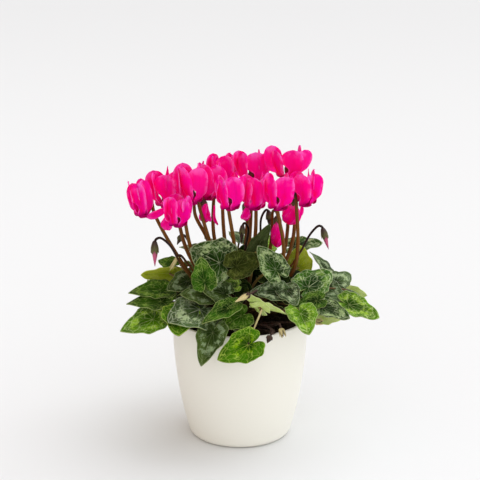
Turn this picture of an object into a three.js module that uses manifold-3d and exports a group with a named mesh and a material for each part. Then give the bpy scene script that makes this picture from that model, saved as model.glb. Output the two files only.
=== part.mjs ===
// A potted cyclamen: a plain round pot filled with soil, a corm with every stalk that grows
// from it, heart-shaped leaves on their stalks, and nodding blooms with swept-back petals.
// Millimetres, +Z up. The origin is the centre of the pot's underside, the front is -Y.
import * as THREE from 'three';
import { mergeVertices } from 'three/addons/utils/BufferGeometryUtils.js';
import Module from 'manifold-3d';

const wasm = await Module();
wasm.setup();

// Driving dimensions
const potHeight = 125;
const potRimRadius = 67.6;
const potFootRadius = 46;
const potWall = 3.2;
const potSides = 30;
const floorThickness = 4;
const soilTop = 113;
const cormRadius = 24;
const cormHalfHeight = 14;
const cormCentreHeight = 110;
const cormSides = 12;
const fitGap = 0.35;
const bladeThickness = 0.85;
const petioleRootRadius = 1.5;
const petioleTipRadius = 0.95;
const rootDepth = 4;
const rootSpread = 0.2;
const fusedSink = 0.13;
const stalkRootRadius = 2.1;
const stalkTipRadius = 1.35;
const petioleSides = 3;
const stalkSides = 4;
const hookRadius = 5;
const tubeLength = 8;
const tubeMouthRadius = 4.3;
const tubeNeckRadius = 3.3;
const petalThickness = 0.85;
const petalLength = 33;
const petalWidth = 17;
const petalsPerBloom = 5;
const petalSpacing = 61;
const petalTurn = 10;
const petalCup = 0.45;
const petalTipRound = 0.13;
const overlapLift = 0.36;
const bloomFlare = 13;
const calyxHeight = 3;
const calyxRim = 0.3;
const calyxNeckRadius = 1.6;
const budRadius = 3.4;
const witheredRadius = 2.6;
const witheredLength = 8;

const degrees = Math.PI / 180;
const up = new THREE.Vector3(0, 0, 1);

// Joining helpers
function solidFrom(geometry) {
  geometry.deleteAttribute('normal');
  geometry.deleteAttribute('uv');
  const merged = mergeVertices(geometry, 1e-4);
  return new wasm.Manifold(new wasm.Mesh({
    numProp: 3,
    vertProperties: Float32Array.from(merged.attributes.position.array),
    triVerts: Uint32Array.from(merged.index.array),
  }));
}

function geometryFrom(solid) {
  const mesh = solid.getMesh();
  const geometry = new THREE.BufferGeometry();
  geometry.setAttribute('position', new THREE.BufferAttribute(mesh.vertProperties, 3));
  geometry.setIndex(new THREE.BufferAttribute(mesh.triVerts, 1));
  return geometry;
}

function joined(solids) {
  return solids.reduce((whole, piece) => whole.add(piece));
}

function indexedGeometry(points, triangles) {
  const geometry = new THREE.BufferGeometry();
  geometry.setFromPoints(points);
  geometry.setIndex(triangles.flat());
  return geometry;
}

// A round body from a profile of radius and height pairs that starts and ends on the axis
function turned(profile, sides) {
  const points = profile.map(([radius, height]) => new THREE.Vector2(radius, height));
  return new THREE.LatheGeometry(points, sides).rotateX(Math.PI / 2);
}

// A closed tube of the given rings: each ring keeps the turn of the ring before it, and the
// last one can be turned square to a direction of its own
function sweptTube(path, radii, sides, endDirection = null) {
  const points = [];
  const triangles = [];
  const side = new THREE.Vector3(1, 0, 0);
  path.forEach((centre, ring) => {
    const ahead = path[Math.min(ring + 1, path.length - 1)];
    const behind = path[Math.max(ring - 1, 0)];
    const atEnd = endDirection && ring === path.length - 1;
    const along = atEnd ? endDirection : ahead.clone().sub(behind).normalize();
    side.addScaledVector(along, -side.dot(along)).normalize();
    const across = along.clone().cross(side);
    for (let k = 0; k < sides; k += 1) {
      const turn = 2 * Math.PI * k / sides;
      points.push(centre.clone()
        .addScaledVector(side, radii[ring] * Math.cos(turn))
        .addScaledVector(across, radii[ring] * Math.sin(turn)));
    }
  });
  for (let ring = 0; ring + 1 < path.length; ring += 1) {
    for (let k = 0; k < sides; k += 1) {
      const a = ring * sides + k;
      const b = ring * sides + (k + 1) % sides;
      triangles.push([a, b, b + sides], [a, b + sides, a + sides]);
    }
  }
  const last = (path.length - 1) * sides;
  for (let k = 1; k + 1 < sides; k += 1) {
    triangles.push([0, k + 1, k], [last, last + k, last + k + 1]);
  }
  return indexedGeometry(points, triangles);
}

function bezier(start, startPull, endPull, end, steps) {
  return new THREE.CubicBezierCurve3(start, startPull, endPull, end).getPoints(steps);
}

function taper(from, to, count) {
  return Array.from({ length: count }, (_, k) => from + (to - from) * k / (count - 1));
}

// Pot and soil
const potOutside = [
  [potFootRadius, 0], [51.6, 4.5], [56.6, 24], [62, 52], [65.8, 84], [potRimRadius, potHeight - 1.2],
  [potRimRadius - 0.9, potHeight], [potRimRadius - 2.3, potHeight],
];
const potInside = [
  [potRimRadius - potWall, potHeight - 1], [65.8 - potWall, 84], [62 - potWall, 52],
  [56.6 - potWall, 24], [51.6 - potWall, floorThickness],
];

function makePot() {
  return turned([[0, 0], ...potOutside, ...potInside, [0, floorThickness]], potSides);
}

function cormProfile(growth) {
  const profile = [];
  for (let step = 0; step <= 6; step += 1) {
    const latitude = -90 * degrees + 30 * degrees * step;
    const radius = step % 6 ? (cormRadius + growth) * Math.cos(latitude) : 0;
    profile.push([radius, cormCentreHeight + (cormHalfHeight + growth) * Math.sin(latitude)]);
  }
  return profile;
}

function makeSoil() {
  const wallSide = potInside.slice(1).reverse()
    .map(([radius, height]) => [radius - fitGap, height + fitGap]);
  const soil = solidFrom(turned([
    [0, floorThickness + fitGap], ...wallSide, [63.4, soilTop - 1], [50, soilTop + 1.2],
    [36, soilTop - 0.8], [0, soilTop],
  ], potSides));
  return geometryFrom(soil.subtract(solidFrom(turned(cormProfile(fitGap), cormSides))));
}

// Leaf blades. The outline is a heart in polar form round the point where the stalk meets it.
const rimAngles = [0, 16, 32, 52, 72, 92, 112, 131, 150, 168, 180];
const innerReach = 0.52;
const scallop = 0.018;
const ribSoftness = 0.06;

function heartReach(angle) {
  const tip = 0.5 * Math.exp(-((angle / 27) ** 1.3));
  const notch = 0.45 * Math.exp(-(((180 - angle) / 9) ** 1.2));
  return 0.5 + tip - notch;
}

function bladeHeight(x, y, reach, angle, leaf) {
  const fold = leaf.fold * (Math.hypot(y, ribSoftness) - ribSoftness);
  const droop = leaf.droop * x * Math.abs(x);
  const wave = leaf.wave * reach * reach * Math.sin(4 * angle * degrees + leaf.phase);
  return fold - droop + wave;
}

function bladePoint(angle, reach, leaf) {
  const x = reach * Math.cos(angle * degrees);
  const y = reach * Math.sin(angle * degrees) * leaf.width;
  const z = bladeHeight(x, y, reach, angle, leaf);
  return new THREE.Vector3(x, y, z).multiplyScalar(leaf.length);
}

// The triangles of one half of the blade, from the midrib round to the notch
function halfBladeTriangles(centre, inner, outer) {
  const triangles = [];
  for (let k = 0; k < 4; k += 1) {
    triangles.push([centre, inner[k], inner[k + 1]]);
    triangles.push([inner[k], outer[2 * k], outer[2 * k + 1]]);
    triangles.push([inner[k], outer[2 * k + 1], inner[k + 1]]);
    triangles.push([inner[k + 1], outer[2 * k + 1], outer[2 * k + 2]]);
  }
  triangles.push([inner[4], outer[8], outer[9]], [inner[4], outer[9], centre]);
  triangles.push([centre, outer[9], outer[10]]);
  return triangles;
}

function makeBlade(leaf) {
  const surface = [new THREE.Vector3(0, 0, 0)];
  const place = (angle, reach) => surface.push(bladePoint(angle, reach, leaf)) - 1;
  const rim = (angle, k) => place(angle, heartReach(Math.abs(angle)) * (1 + scallop * (k % 2 ? 1 : -1)));
  const inner = (angle) => place(angle, heartReach(Math.abs(angle)) * innerReach);
  const leftRim = rimAngles.map(rim);
  const leftInner = [0, 2, 4, 6, 8].map((k) => inner(rimAngles[k]));
  const middle = rimAngles.slice(1, -1).map((angle, k) => rim(-angle, k + 1));
  const rightRim = [leftRim[0], ...middle, leftRim[10]];
  const rightInner = [leftInner[0], ...[2, 4, 6, 8].map((k) => inner(-rimAngles[k]))];
  const left = halfBladeTriangles(0, leftInner, leftRim);
  const right = halfBladeTriangles(0, rightInner, rightRim).map(([a, b, c]) => [a, c, b]);
  const edge = [...leftRim, ...middle.reverse()];
  return thickened(surface, [...left, ...right], edge, new THREE.Vector3(0, 0, bladeThickness / 2));
}

// A sheet given its thickness: both faces have the same triangles, a wall closes the edge
function thickened(surface, triangles, edge, half) {
  const halves = Array.isArray(half) ? half : surface.map(() => half);
  const above = surface.map((point, k) => point.clone().add(halves[k]));
  const below = surface.map((point, k) => point.clone().sub(halves[k]));
  const count = surface.length;
  const faces = [...triangles, ...triangles.map(([a, b, c]) => [a + count, c + count, b + count])];
  edge.forEach((a, k) => {
    const b = edge[(k + 1) % edge.length];
    faces.push([b, a, a + count], [b, a + count, b + count]);
  });
  return indexedGeometry([...above, ...below], faces);
}

// The blade's frame: the midrib from the stalk to the tip, and the way its upper side faces
function bladeFrame(leaf) {
  const along = leaf.tip.clone().sub(leaf.seat).normalize();
  const [azimuth, elevation] = leaf.face;
  const facing = new THREE.Vector3(
    Math.cos(elevation * degrees) * Math.cos(azimuth * degrees),
    Math.cos(elevation * degrees) * Math.sin(azimuth * degrees),
    Math.sin(elevation * degrees),
  );
  const normal = facing.addScaledVector(along, -facing.dot(along)).normalize();
  const across = normal.clone().cross(along);
  return { along, across, normal };
}

function placedBlade(leaf) {
  const { along, across, normal } = bladeFrame(leaf);
  const place = new THREE.Matrix4().makeBasis(along, across, normal).setPosition(leaf.seat);
  return makeBlade(leaf).applyMatrix4(place);
}

// A point just under the corm's skin, on the side that faces the target
function cormPoint(target, radius) {
  const heading = Math.atan2(target.y, target.x);
  const skin = cormHalfHeight * Math.sqrt(1 - (radius / cormRadius) ** 2);
  return new THREE.Vector3(
    radius * Math.cos(heading), radius * Math.sin(heading), cormCentreHeight + skin - rootDepth,
  );
}

// A leaf's stalk rises from the corm and comes to the blade from below. Stalks of high leaves
// grow from the middle of the corm and rise more steeply, those of low leaves near its edge.
const lowSeat = 130;
const highSeat = 185;
const lowLeafRoot = 20;
const highLeafRoot = 9;
const highLeafRise = 0.25;

function makePetiole(leaf, fused) {
  const { normal } = bladeFrame(leaf);
  const stop = fused ? fusedSink : bladeThickness / 2 + fitGap;
  const end = leaf.seat.clone().addScaledVector(normal, -stop);
  const high = THREE.MathUtils.clamp((end.z - lowSeat) / (highSeat - lowSeat), 0, 1);
  const root = cormPoint(end, THREE.MathUtils.lerp(lowLeafRoot, highLeafRoot, high));
  const span = root.distanceTo(end);
  const startPull = root.clone().addScaledVector(up, span * (leaf.rise + highLeafRise * high));
  const endPull = end.clone()
    .addScaledVector(normal, -span * leaf.approach)
    .addScaledVector(up, leaf.lift * (1 - high));
  const path = bezier(root, startPull, endPull, end, 4);
  return sweptTube(path, taper(petioleRootRadius, petioleTipRadius, path.length), petioleSides, normal);
}

// Each leaf: where its stalk meets it, its tip, the azimuth and elevation that its upper side
// faces, and then what differs from a plain one.
function leafAt(name, seat, tip, face, more = {}) {
  const seatPoint = new THREE.Vector3(...seat);
  const tipPoint = new THREE.Vector3(...tip);
  return {
    name,
    seat: seatPoint,
    tip: tipPoint,
    face,
    length: seatPoint.distanceTo(tipPoint),
    width: 1,
    fold: 0.18,
    droop: 0.1,
    wave: 0.05,
    phase: 0,
    rise: 0.38,
    approach: 0.14,
    lift: 6,
    ...more,
  };
}

const frontLeaves = [
  leafAt('leaf_left_low', [-85, -35, 129], [-118, -45, 122], [-100, 50], { width: 0.95 }),
  leafAt('leaf_left_mid', [-78, -15, 153], [-109, -26, 156], [-100, 55], { width: 0.85 }),
  leafAt('leaf_left_pale', [-71, 6, 162], [-100, 0, 165], [80, 55], { width: 0.8 }),
  leafAt('leaf_left_dark', [-75, -28, 143], [-111, -34, 145], [-95, 68], { width: 0.75 }),
  leafAt('leaf_left_pointed', [-60, -50, 138], [-58, -80, 128], [-90, 45]),
  leafAt('leaf_silver', [-42, -46, 147], [-68, -72, 143], [-110, 58], { fold: -0.1 }),
  leafAt('leaf_round', [-34, -53, 177], [-39, -50, 200], [-95, 8], { width: 1.15 }),
  leafAt('leaf_crest_left', [-17, -28, 189], [-46, -24, 203], [-85, 32], { width: 1.15 }),
  leafAt('leaf_behind_left', [-41, 27, 182], [-61, 27, 187], [-90, 75], { width: 0.8 }),
  leafAt('leaf_olive', [-3, -38, 187], [23, -31, 194], [-92, 30], { fold: 0.3 }),
  leafAt('leaf_crest_mid', [34, -45, 186], [17, -37, 208], [-75, 20], { width: 0.9 }),
  leafAt('leaf_upright', [13, -10, 192], [29, -8, 221], [90, 15], { width: 0.7 }),
  leafAt('leaf_right_rear', [56, 44, 181], [84, 46, 186], [-95, 68], { width: 0.85, rise: 0.6 }),
  leafAt('leaf_lime', [59, 32, 162], [60, 29, 188], [95, 5], { width: 1.1 }),
  leafAt('leaf_right_edge', [88, 36, 157], [72, 40, 178], [-20, 30], { width: 0.8 }),
  leafAt('leaf_bright', [67, -22, 160], [92, 2, 170], [-80, 55], { width: 0.95 }),
  leafAt('leaf_right_far', [97, 20, 150], [114, 40, 154], [-60, 55], { width: 0.9 }),
  leafAt('leaf_right_silver', [88, -2, 147], [121, -6, 145], [-90, 62], { width: 0.7 }),
  leafAt('leaf_right_low', [107, -23, 141], [137, -33, 132], [-78, 60], { width: 0.9 }),
  leafAt('leaf_right_front', [80, -47, 147], [106, -59, 142], [-80, 62], { width: 0.9 }),
  leafAt('leaf_front_right', [58, -59, 146], [66, -83, 135], [-75, 40], { fold: 0.3, width: 1.1 }),
  leafAt('leaf_curled', [25, -56, 149], [35, -40, 158], [70, 20], { width: 1.4 }),
  leafAt('leaf_center_silver', [46, -36, 161], [55, -56, 155], [-100, 60]),
  leafAt('leaf_front_left', [-23, -71, 131], [-36, -92, 109], [-95, 48], { droop: 0.4 }),
  leafAt('leaf_front', [8, -87, 125], [-22, -93, 112], [-95, 28], { width: 0.95, lift: 18 }),
  leafAt('leaf_long', [-11, -56, 150], [-36, -75, 143], [-80, 55], { width: 0.66 }),
  leafAt('leaf_center_left', [-18, -43, 164], [-31, -46, 172], [-90, 35]),
];

// Small leaves low in the clump are one piece with the crown
const innerLeaves = [
  leafAt('', [67, -42, 154], [56, -47, 159], [-90, 50], { width: 0.85 }),
  leafAt('', [80, -30, 131], [99, -36, 130], [90, 50]),
  leafAt('', [26, -34, 158], [12, -42, 165], [-90, 35]),
  leafAt('', [0, -52, 136], [-5, -74, 131], [-90, 50]),
  leafAt('', [-52, -10, 161], [-71, -25, 158], [-95, 40]),
  leafAt('', [-5, -33, 166], [-19, -37, 168], [-85, 40]),
  leafAt('', [-69, 42, 162], [-84, 50, 165], [-90, 50]),
];

// The hidden rear side has rings of leaves by a rule, each tilted to lie over the next one
const rearRings = [
  { name: 'leaf_rear_low', count: 6, from: 40, step: 22, radius: 84, length: 34, height: 138, drop: 9 },
  { name: 'leaf_rear_mid', count: 5, from: 54, step: 20, radius: 57, length: 32, height: 160, drop: 2 },
  { name: 'leaf_rear_high', count: 3, from: 62, step: 28, radius: 49, length: 27, height: 182, drop: -4 },
];

function rearLeaves() {
  return rearRings.flatMap((ring) => Array.from({ length: ring.count }, (_, k) => {
    const heading = (ring.from + ring.step * k) * degrees;
    const outward = [Math.cos(heading), Math.sin(heading)];
    const reach = ring.radius + (k % 2 ? 3 : -2);
    const height = ring.height + (k % 2 ? 2.5 : -1.5);
    const seat = [outward[0] * reach, outward[1] * reach, height];
    const tipReach = reach + ring.length;
    const tip = [outward[0] * tipReach, outward[1] * tipReach, height - ring.drop];
    const face = [ring.from + ring.step * k - 62, 62];
    return leafAt(`${ring.name}_${k + 1}`, seat, tip, face, { phase: k });
  }));
}

// Blooms. The petals start at the tube's mouth, turn outward and sweep up past the hook.
function petalSheet(turn, bloom, k) {
  const rows = [0, 0.22, 0.5, 0.82, 1];
  const widths = [0.2, 0.4, 0.8, 0.95, 0.45];
  const columns = [-1, 0, 1];
  const tall = bloom.length * (k % 2 ? 0.95 : 1);
  const spine = new THREE.CubicBezierCurve3(
    new THREE.Vector3(3, 0, 1.4),
    new THREE.Vector3(9.5, 0, -3.4),
    new THREE.Vector3(bloom.flare, 0, tall * 0.45),
    new THREE.Vector3(bloom.flare - 2.5, 0, tall),
  );
  const surface = [];
  const halves = [];
  rows.forEach((at, row) => {
    const middle = spine.getPoint(at);
    const along = spine.getTangent(at);
    const outward = new THREE.Vector3(along.z, 0, -along.x);
    columns.forEach((column) => {
      const across = column * bloom.width / 2 * widths[row];
      const round = at === 1 ? -petalTipRound * tall * Math.abs(column) : 0;
      const cup = -petalCup * across * across / middle.x + overlapLift * across;
      surface.push(new THREE.Vector3(middle.x, across, middle.z)
        .addScaledVector(outward, cup)
        .addScaledVector(along, round));
      halves.push(outward.clone().multiplyScalar(petalThickness / 2));
    });
  });
  const triangles = [];
  for (let row = 0; row + 1 < rows.length; row += 1) {
    for (let column = 0; column < 2; column += 1) {
      const a = row * 3 + column;
      triangles.push([a, a + 1, a + 4], [a, a + 4, a + 3]);
    }
  }
  const edge = [0, 1, 2, 5, 8, 11, 14, 13, 12, 9, 6, 3];
  return thickened(surface, triangles, edge, halves).rotateZ(turn);
}

// A young bloom's petals still hang below the calyx, furled round each other
function furledPetals(bloom) {
  const belly = bloom.width / 2;
  const profile = [
    [0, tubeLength], [tubeNeckRadius, tubeLength], [belly * 0.6, tubeLength - bloom.length * 0.2],
    [belly, tubeLength - bloom.length * 0.55], [belly * 0.75, tubeLength - bloom.length * 0.85],
    [0, tubeLength - bloom.length],
  ];
  return turned(profile.reverse(), 7);
}

function makeBloom(bloom) {
  if (bloom.furled) {
    return geometryFrom(solidFrom(furledPetals(bloom))).applyMatrix4(bloomFrame(bloom));
  }
  const tube = turned([
    [0, 0], [tubeMouthRadius, 0], [tubeNeckRadius, tubeLength], [0, tubeLength],
  ], 6);
  const solids = [solidFrom(tube)];
  const stalkSide = bloom.stalkSide * degrees;
  for (let k = 0; k < petalsPerBloom; k += 1) {
    const turn = stalkSide + Math.PI + ((k - 2) * petalSpacing + petalTurn) * degrees;
    solids.push(solidFrom(petalSheet(turn, bloom, k)));
  }
  return geometryFrom(joined(solids)).applyMatrix4(bloomFrame(bloom));
}

// The bloom's own frame: its mouth at the origin, its hook straight above, then leaned
function bloomFrame(bloom) {
  const axis = new THREE.Vector3(Math.cos(bloom.leanTo * degrees), Math.sin(bloom.leanTo * degrees), 0);
  const hinge = up.clone().cross(axis).normalize();
  const place = new THREE.Matrix4().makeRotationAxis(hinge, bloom.lean * degrees);
  return place.setPosition(bloom.mouth);
}

// A flower stalk: from the crown past the point where it leaves the foliage, up beside the
// bloom, over the hook and down into the calyx
function makeStalk(bloom) {
  const place = bloomFrame(bloom);
  const sideways = new THREE.Vector3(
    Math.cos(bloom.stalkSide * degrees), Math.sin(bloom.stalkSide * degrees), 0,
  );
  const hook = bloom.furled ? Math.max(hookRadius, bloom.width / 4 + 1.4) : hookRadius;
  const local = (out, height) => sideways.clone().multiplyScalar(out).setZ(height).applyMatrix4(place);
  const calyxBase = tubeLength + fitGap;
  const calyxTop = calyxBase + calyxHeight;
  const root = cormPoint(bloom.knee, rootSpread * Math.hypot(bloom.knee.x, bloom.knee.y));
  const climb = new THREE.CatmullRomCurve3(
    [root, bloom.knee, local(2 * hook, -2), local(2 * hook, calyxTop - 1)], false, 'centripetal',
  );
  const rise = [0, 1 / 3, 1 / 2, 2 / 3, 1].map((at) => climb.getPoint(at));
  const arc = [50, 90, 130].map((turn) => local(
    hook + hook * Math.cos(turn * degrees),
    calyxTop + hook * Math.sin(turn * degrees),
  ));
  const path = [...rise, ...arc, local(0, calyxTop - 1)];
  const stalk = sweptTube(path, taper(stalkRootRadius, stalkTipRadius, path.length), stalkSides);
  const calyx = turned([
    [0, calyxBase], [tubeNeckRadius + calyxRim, calyxBase], [calyxNeckRadius, calyxTop + 0.6],
    [0, calyxTop + 0.6],
  ], 6).applyMatrix4(place);
  return [solidFrom(stalk), solidFrom(calyx)];
}

// Each bloom: its mouth, where its stalk leaves the foliage, the way and the amount that its
// petals lean, and the side on which the stalk passes
function bloomAt(mouth, knee, leanTo, lean, stalkSide, more = {}) {
  return {
    mouth: new THREE.Vector3(...mouth),
    knee: new THREE.Vector3(...knee),
    leanTo,
    lean,
    stalkSide,
    length: petalLength,
    width: petalWidth,
    flare: bloomFlare,
    furled: false,
    ...more,
  };
}

const blooms = [
  bloomAt([-93, -12, 231], [-50, -14, 172], 160, 14, 10, { length: 31 }),
  bloomAt([-75, 12, 236], [-53, 6, 190], 150, 5, 20, { width: 18 }),
  bloomAt([-60, -31, 227], [-44, -13, 185], 180, 3, 50, { length: 29, width: 19, flare: 15 }),
  bloomAt([-46, -10, 243], [-31, -3, 205], 150, 6, 60, { length: 36 }),
  bloomAt([-31, 20, 239], [-26, 16, 202], 60, 6, 60, { length: 36 }),
  bloomAt([-18, 50, 242], [-16, 32, 198], 90, 5, 90),
  bloomAt([12, 46, 247], [6, 30, 192], 90, 5, 100, { width: 19, flare: 16 }),
  bloomAt([-9, -22, 241], [-5, -10, 194], 180, 4, 105),
  bloomAt([14, -4, 236], [15, 2, 205], 0, 0, 80),
  bloomAt([37, -26, 242], [42, -12, 184], 60, 4, 95),
  bloomAt([65, 2, 238], [53, 0, 170], 190, 6, 185),
  bloomAt([48, 32, 257], [44, 22, 182], 90, 4, 90, { length: 30, width: 20, flare: 19 }),
  bloomAt([51, 15, 228], [50, 18, 185], 0, 3, 70, { furled: true, length: 24, width: 20 }),
  bloomAt([37, 10, 211], [30, 20, 186], 0, 0, 120, { furled: true, length: 29, width: 13 }),
  bloomAt([-35, 9, 228], [-31, 6, 198], 180, 6, 205, { furled: true, length: 20, width: 11 }),
  bloomAt([6, 22, 221], [9, 18, 190], 0, 0, 60, { furled: true, length: 15, width: 9 }),
];

// Closed buds: the top of the hook, the tip of the bud, and a point on the way up
const buds = [
  { top: [-81, -20, 210], tip: [-83, -20, 180], knee: [-62, -22, 176], radius: 1 },
  { top: [79, 10, 213], tip: [88, 10, 188], knee: [58, 6, 184], radius: 0.9 },
  { top: [27, 36, 222], tip: [30, 34, 202], knee: [20, 26, 186], radius: 0.8 },
  { top: [4, 2, 218], tip: [1, -2, 197], knee: [5, 2, 190], radius: 0.75 },
  { top: [-58, -20, 192], tip: [-69, -22, 176], knee: [-46, -18, 176], radius: 0.8 },
  { top: [-54, 17, 201], tip: [-60, 19, 189], knee: [-40, 8, 180], radius: 0.8 },
];

// Withered buds on limp stalks that lie on the soil and over the rim at the front right
const witheredBuds = [
  { knee: [24, -40, 124], end: [33, -66, 131] },
  { knee: [34, -38, 124], end: [43, -60, 134] },
  { knee: [50, -34, 128], end: [74, -44, 132] },
  { knee: [-2, -34, 140], end: [4, -44, 158] },
];

function budProfile(radius, length) {
  return [
    [0, 0], [radius * 0.85, length * 0.12], [radius, length * 0.35], [radius * 0.55, length * 0.72],
    [0, length],
  ];
}

function pointed(profile, from, to) {
  const turn = new THREE.Quaternion().setFromUnitVectors(up, to.clone().sub(from).normalize());
  return turned(profile, 6).applyQuaternion(turn).translate(from.x, from.y, from.z);
}

function makeBud(bud) {
  const top = new THREE.Vector3(...bud.top);
  const tip = new THREE.Vector3(...bud.tip);
  const knee = new THREE.Vector3(...bud.knee);
  const neck = top.clone().lerp(tip, 0.2);
  const path = [cormPoint(knee, rootSpread * Math.hypot(knee.x, knee.y)), knee, top, neck];
  const rise = new THREE.CatmullRomCurve3(path, false, 'centripetal').getPoints(5);
  const stalk = sweptTube(rise, taper(stalkRootRadius, stalkTipRadius, rise.length), stalkSides);
  const start = top.clone().lerp(tip, 0.1);
  const profile = budProfile(budRadius * bud.radius, start.distanceTo(tip));
  return [solidFrom(stalk), solidFrom(pointed(profile, start, tip))];
}

function makeWitheredBud(bud) {
  const end = new THREE.Vector3(...bud.end);
  const knee = new THREE.Vector3(...bud.knee);
  const path = new THREE.CatmullRomCurve3([cormPoint(knee, 16), knee, end]).getPoints(5);
  const stalk = sweptTube(path, taper(petioleRootRadius, petioleTipRadius, path.length), petioleSides);
  const tip = end.clone().addScaledVector(end.clone().sub(knee).normalize(), witheredLength);
  const start = end.clone().lerp(tip, -0.2);
  const profile = budProfile(witheredRadius, start.distanceTo(tip));
  return [solidFrom(stalk), solidFrom(pointed(profile, start, tip))];
}

const separateLeaves = [...frontLeaves, ...rearLeaves()];

function makeCrown() {
  const corm = solidFrom(turned(cormProfile(0), cormSides));
  return geometryFrom(joined([
    corm,
    ...separateLeaves.map((leaf) => solidFrom(makePetiole(leaf, false))),
    ...innerLeaves.flatMap((leaf) => [solidFrom(makePetiole(leaf, true)), solidFrom(placedBlade(leaf))]),
    ...blooms.flatMap(makeStalk),
    ...buds.flatMap(makeBud),
    ...witheredBuds.flatMap(makeWitheredBud),
  ]));
}

// Materials
const glaze = new THREE.MeshStandardMaterial({ color: 0xf1ece2, roughness: 0.35, metalness: 0 });
const earth = new THREE.MeshStandardMaterial({ color: 0x2a1a12, roughness: 0.95, metalness: 0 });
const stalkSkin = new THREE.MeshStandardMaterial({ color: 0x6b4a2f, roughness: 0.6, metalness: 0 });
const foliage = new THREE.MeshStandardMaterial({ color: 0x2f5a24, roughness: 0.5, metalness: 0 });
const petalSkin = new THREE.MeshStandardMaterial({ color: 0xf01488, roughness: 0.6, metalness: 0 });

// The plant
const plant = new THREE.Group();

function addPiece(name, geometry, material) {
  const mesh = new THREE.Mesh(geometry, material);
  mesh.name = name;
  plant.add(mesh);
}

addPiece('pot', makePot(), glaze);
addPiece('soil', makeSoil(), earth);
addPiece('crown', makeCrown(), stalkSkin);
separateLeaves.forEach((leaf) => addPiece(leaf.name, placedBlade(leaf), foliage));
blooms.forEach((bloom, k) => addPiece(`bloom_${k + 1}`, makeBloom(bloom), petalSkin));

export default plant;
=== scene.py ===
import math
import random

import bpy
import numpy as np
from bpy.props import FloatProperty, FloatVectorProperty, IntProperty, PointerProperty
from mathutils import Matrix, Vector, noise


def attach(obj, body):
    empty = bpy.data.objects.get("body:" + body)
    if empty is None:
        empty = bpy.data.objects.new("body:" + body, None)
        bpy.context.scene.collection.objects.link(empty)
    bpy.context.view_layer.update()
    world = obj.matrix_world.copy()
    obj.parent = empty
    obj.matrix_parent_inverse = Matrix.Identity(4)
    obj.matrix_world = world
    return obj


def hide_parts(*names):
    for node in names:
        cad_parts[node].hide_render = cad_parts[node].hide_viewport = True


# A potted cyclamen: marbled heart-shaped leaves on their stalks, nodding blooms with swept-back
# petals on hooked stalks, closed and withered buds, soil and a plain round pot.
# Metres, +Z up, the origin in the middle of the pot's underside, the front towards -Y.

bl_info = {
    "name": "Potted cyclamen",
    "version": (1, 0, 0),
    "blender": (4, 5, 0),
    "location": "View3D > Sidebar > Cyclamen",
    "description": "Builds a potted cyclamen round its packed frame",
    "category": "Add Mesh",
}

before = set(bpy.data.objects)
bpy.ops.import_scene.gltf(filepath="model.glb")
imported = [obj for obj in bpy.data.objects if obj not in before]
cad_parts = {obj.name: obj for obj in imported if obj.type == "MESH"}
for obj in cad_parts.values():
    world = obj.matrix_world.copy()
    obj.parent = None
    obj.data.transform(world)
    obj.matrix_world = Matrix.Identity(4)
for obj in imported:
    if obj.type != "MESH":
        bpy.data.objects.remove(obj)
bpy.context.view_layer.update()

MM = 0.001
UP = Vector((0, 0, 1))


# Modelling helpers


def deselect():
    """Nothing is selected, so that the next operator acts on its own piece alone."""
    if bpy.context.object and bpy.context.object.mode != "OBJECT":
        bpy.ops.object.mode_set(mode="OBJECT")
    bpy.ops.object.select_all(action="DESELECT")


def pick(piece):
    deselect()
    piece.select_set(True)
    bpy.context.view_layer.objects.active = piece


def apply(piece, kind, **settings):
    """Adds a modifier with these settings and applies it."""
    pick(piece)
    modifier = piece.modifiers.new(kind.title(), kind)
    for name, value in settings.items():
        setattr(modifier, name, value)
    bpy.ops.object.modifier_apply(modifier=modifier.name)


def corners_of(mesh):
    places = np.empty(len(mesh.vertices) * 3, np.float32)
    mesh.vertices.foreach_get("co", places)
    return places.reshape(-1, 3).astype(float)


def set_corners(mesh, places):
    mesh.vertices.foreach_set("co", np.asarray(places, np.float32).ravel())
    mesh.update()


def lay_map(mesh, across, along):
    """Gives each corner of the mesh a place on the piece's own flat map."""
    layer = mesh.uv_layers.active or mesh.uv_layers.new(name="piece")
    layer.name = "piece"
    corner = np.empty(len(mesh.loops), np.int32)
    mesh.loops.foreach_get("vertex_index", corner)
    flat = np.stack([across[corner], along[corner]], 1)
    layer.data.foreach_set("uv", flat.astype(np.float32).ravel())


def keep_value(mesh, name, values):
    layer = mesh.attributes.new(name, "FLOAT", "POINT")
    layer.data.foreach_set("value", np.asarray(values, np.float32))


def grid(columns, rows):
    """A flat grid of faces, and for each of its points how far it is across and along, 0 to 1."""
    deselect()
    bpy.ops.mesh.primitive_grid_add(x_subdivisions=columns, y_subdivisions=rows, size=2)
    sheet = bpy.context.object
    flat = corners_of(sheet.data)
    return sheet, flat[:, 0] / 2 + 0.5, flat[:, 1] / 2 + 0.5


def merge_doubles(piece, outward=False):
    pick(piece)
    bpy.ops.object.mode_set(mode="EDIT")
    bpy.ops.mesh.select_all(action="SELECT")
    bpy.ops.mesh.remove_doubles(threshold=1e-6)
    if outward:
        bpy.ops.mesh.normals_make_consistent(inside=False)
    bpy.ops.object.mode_set(mode="OBJECT")


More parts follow.
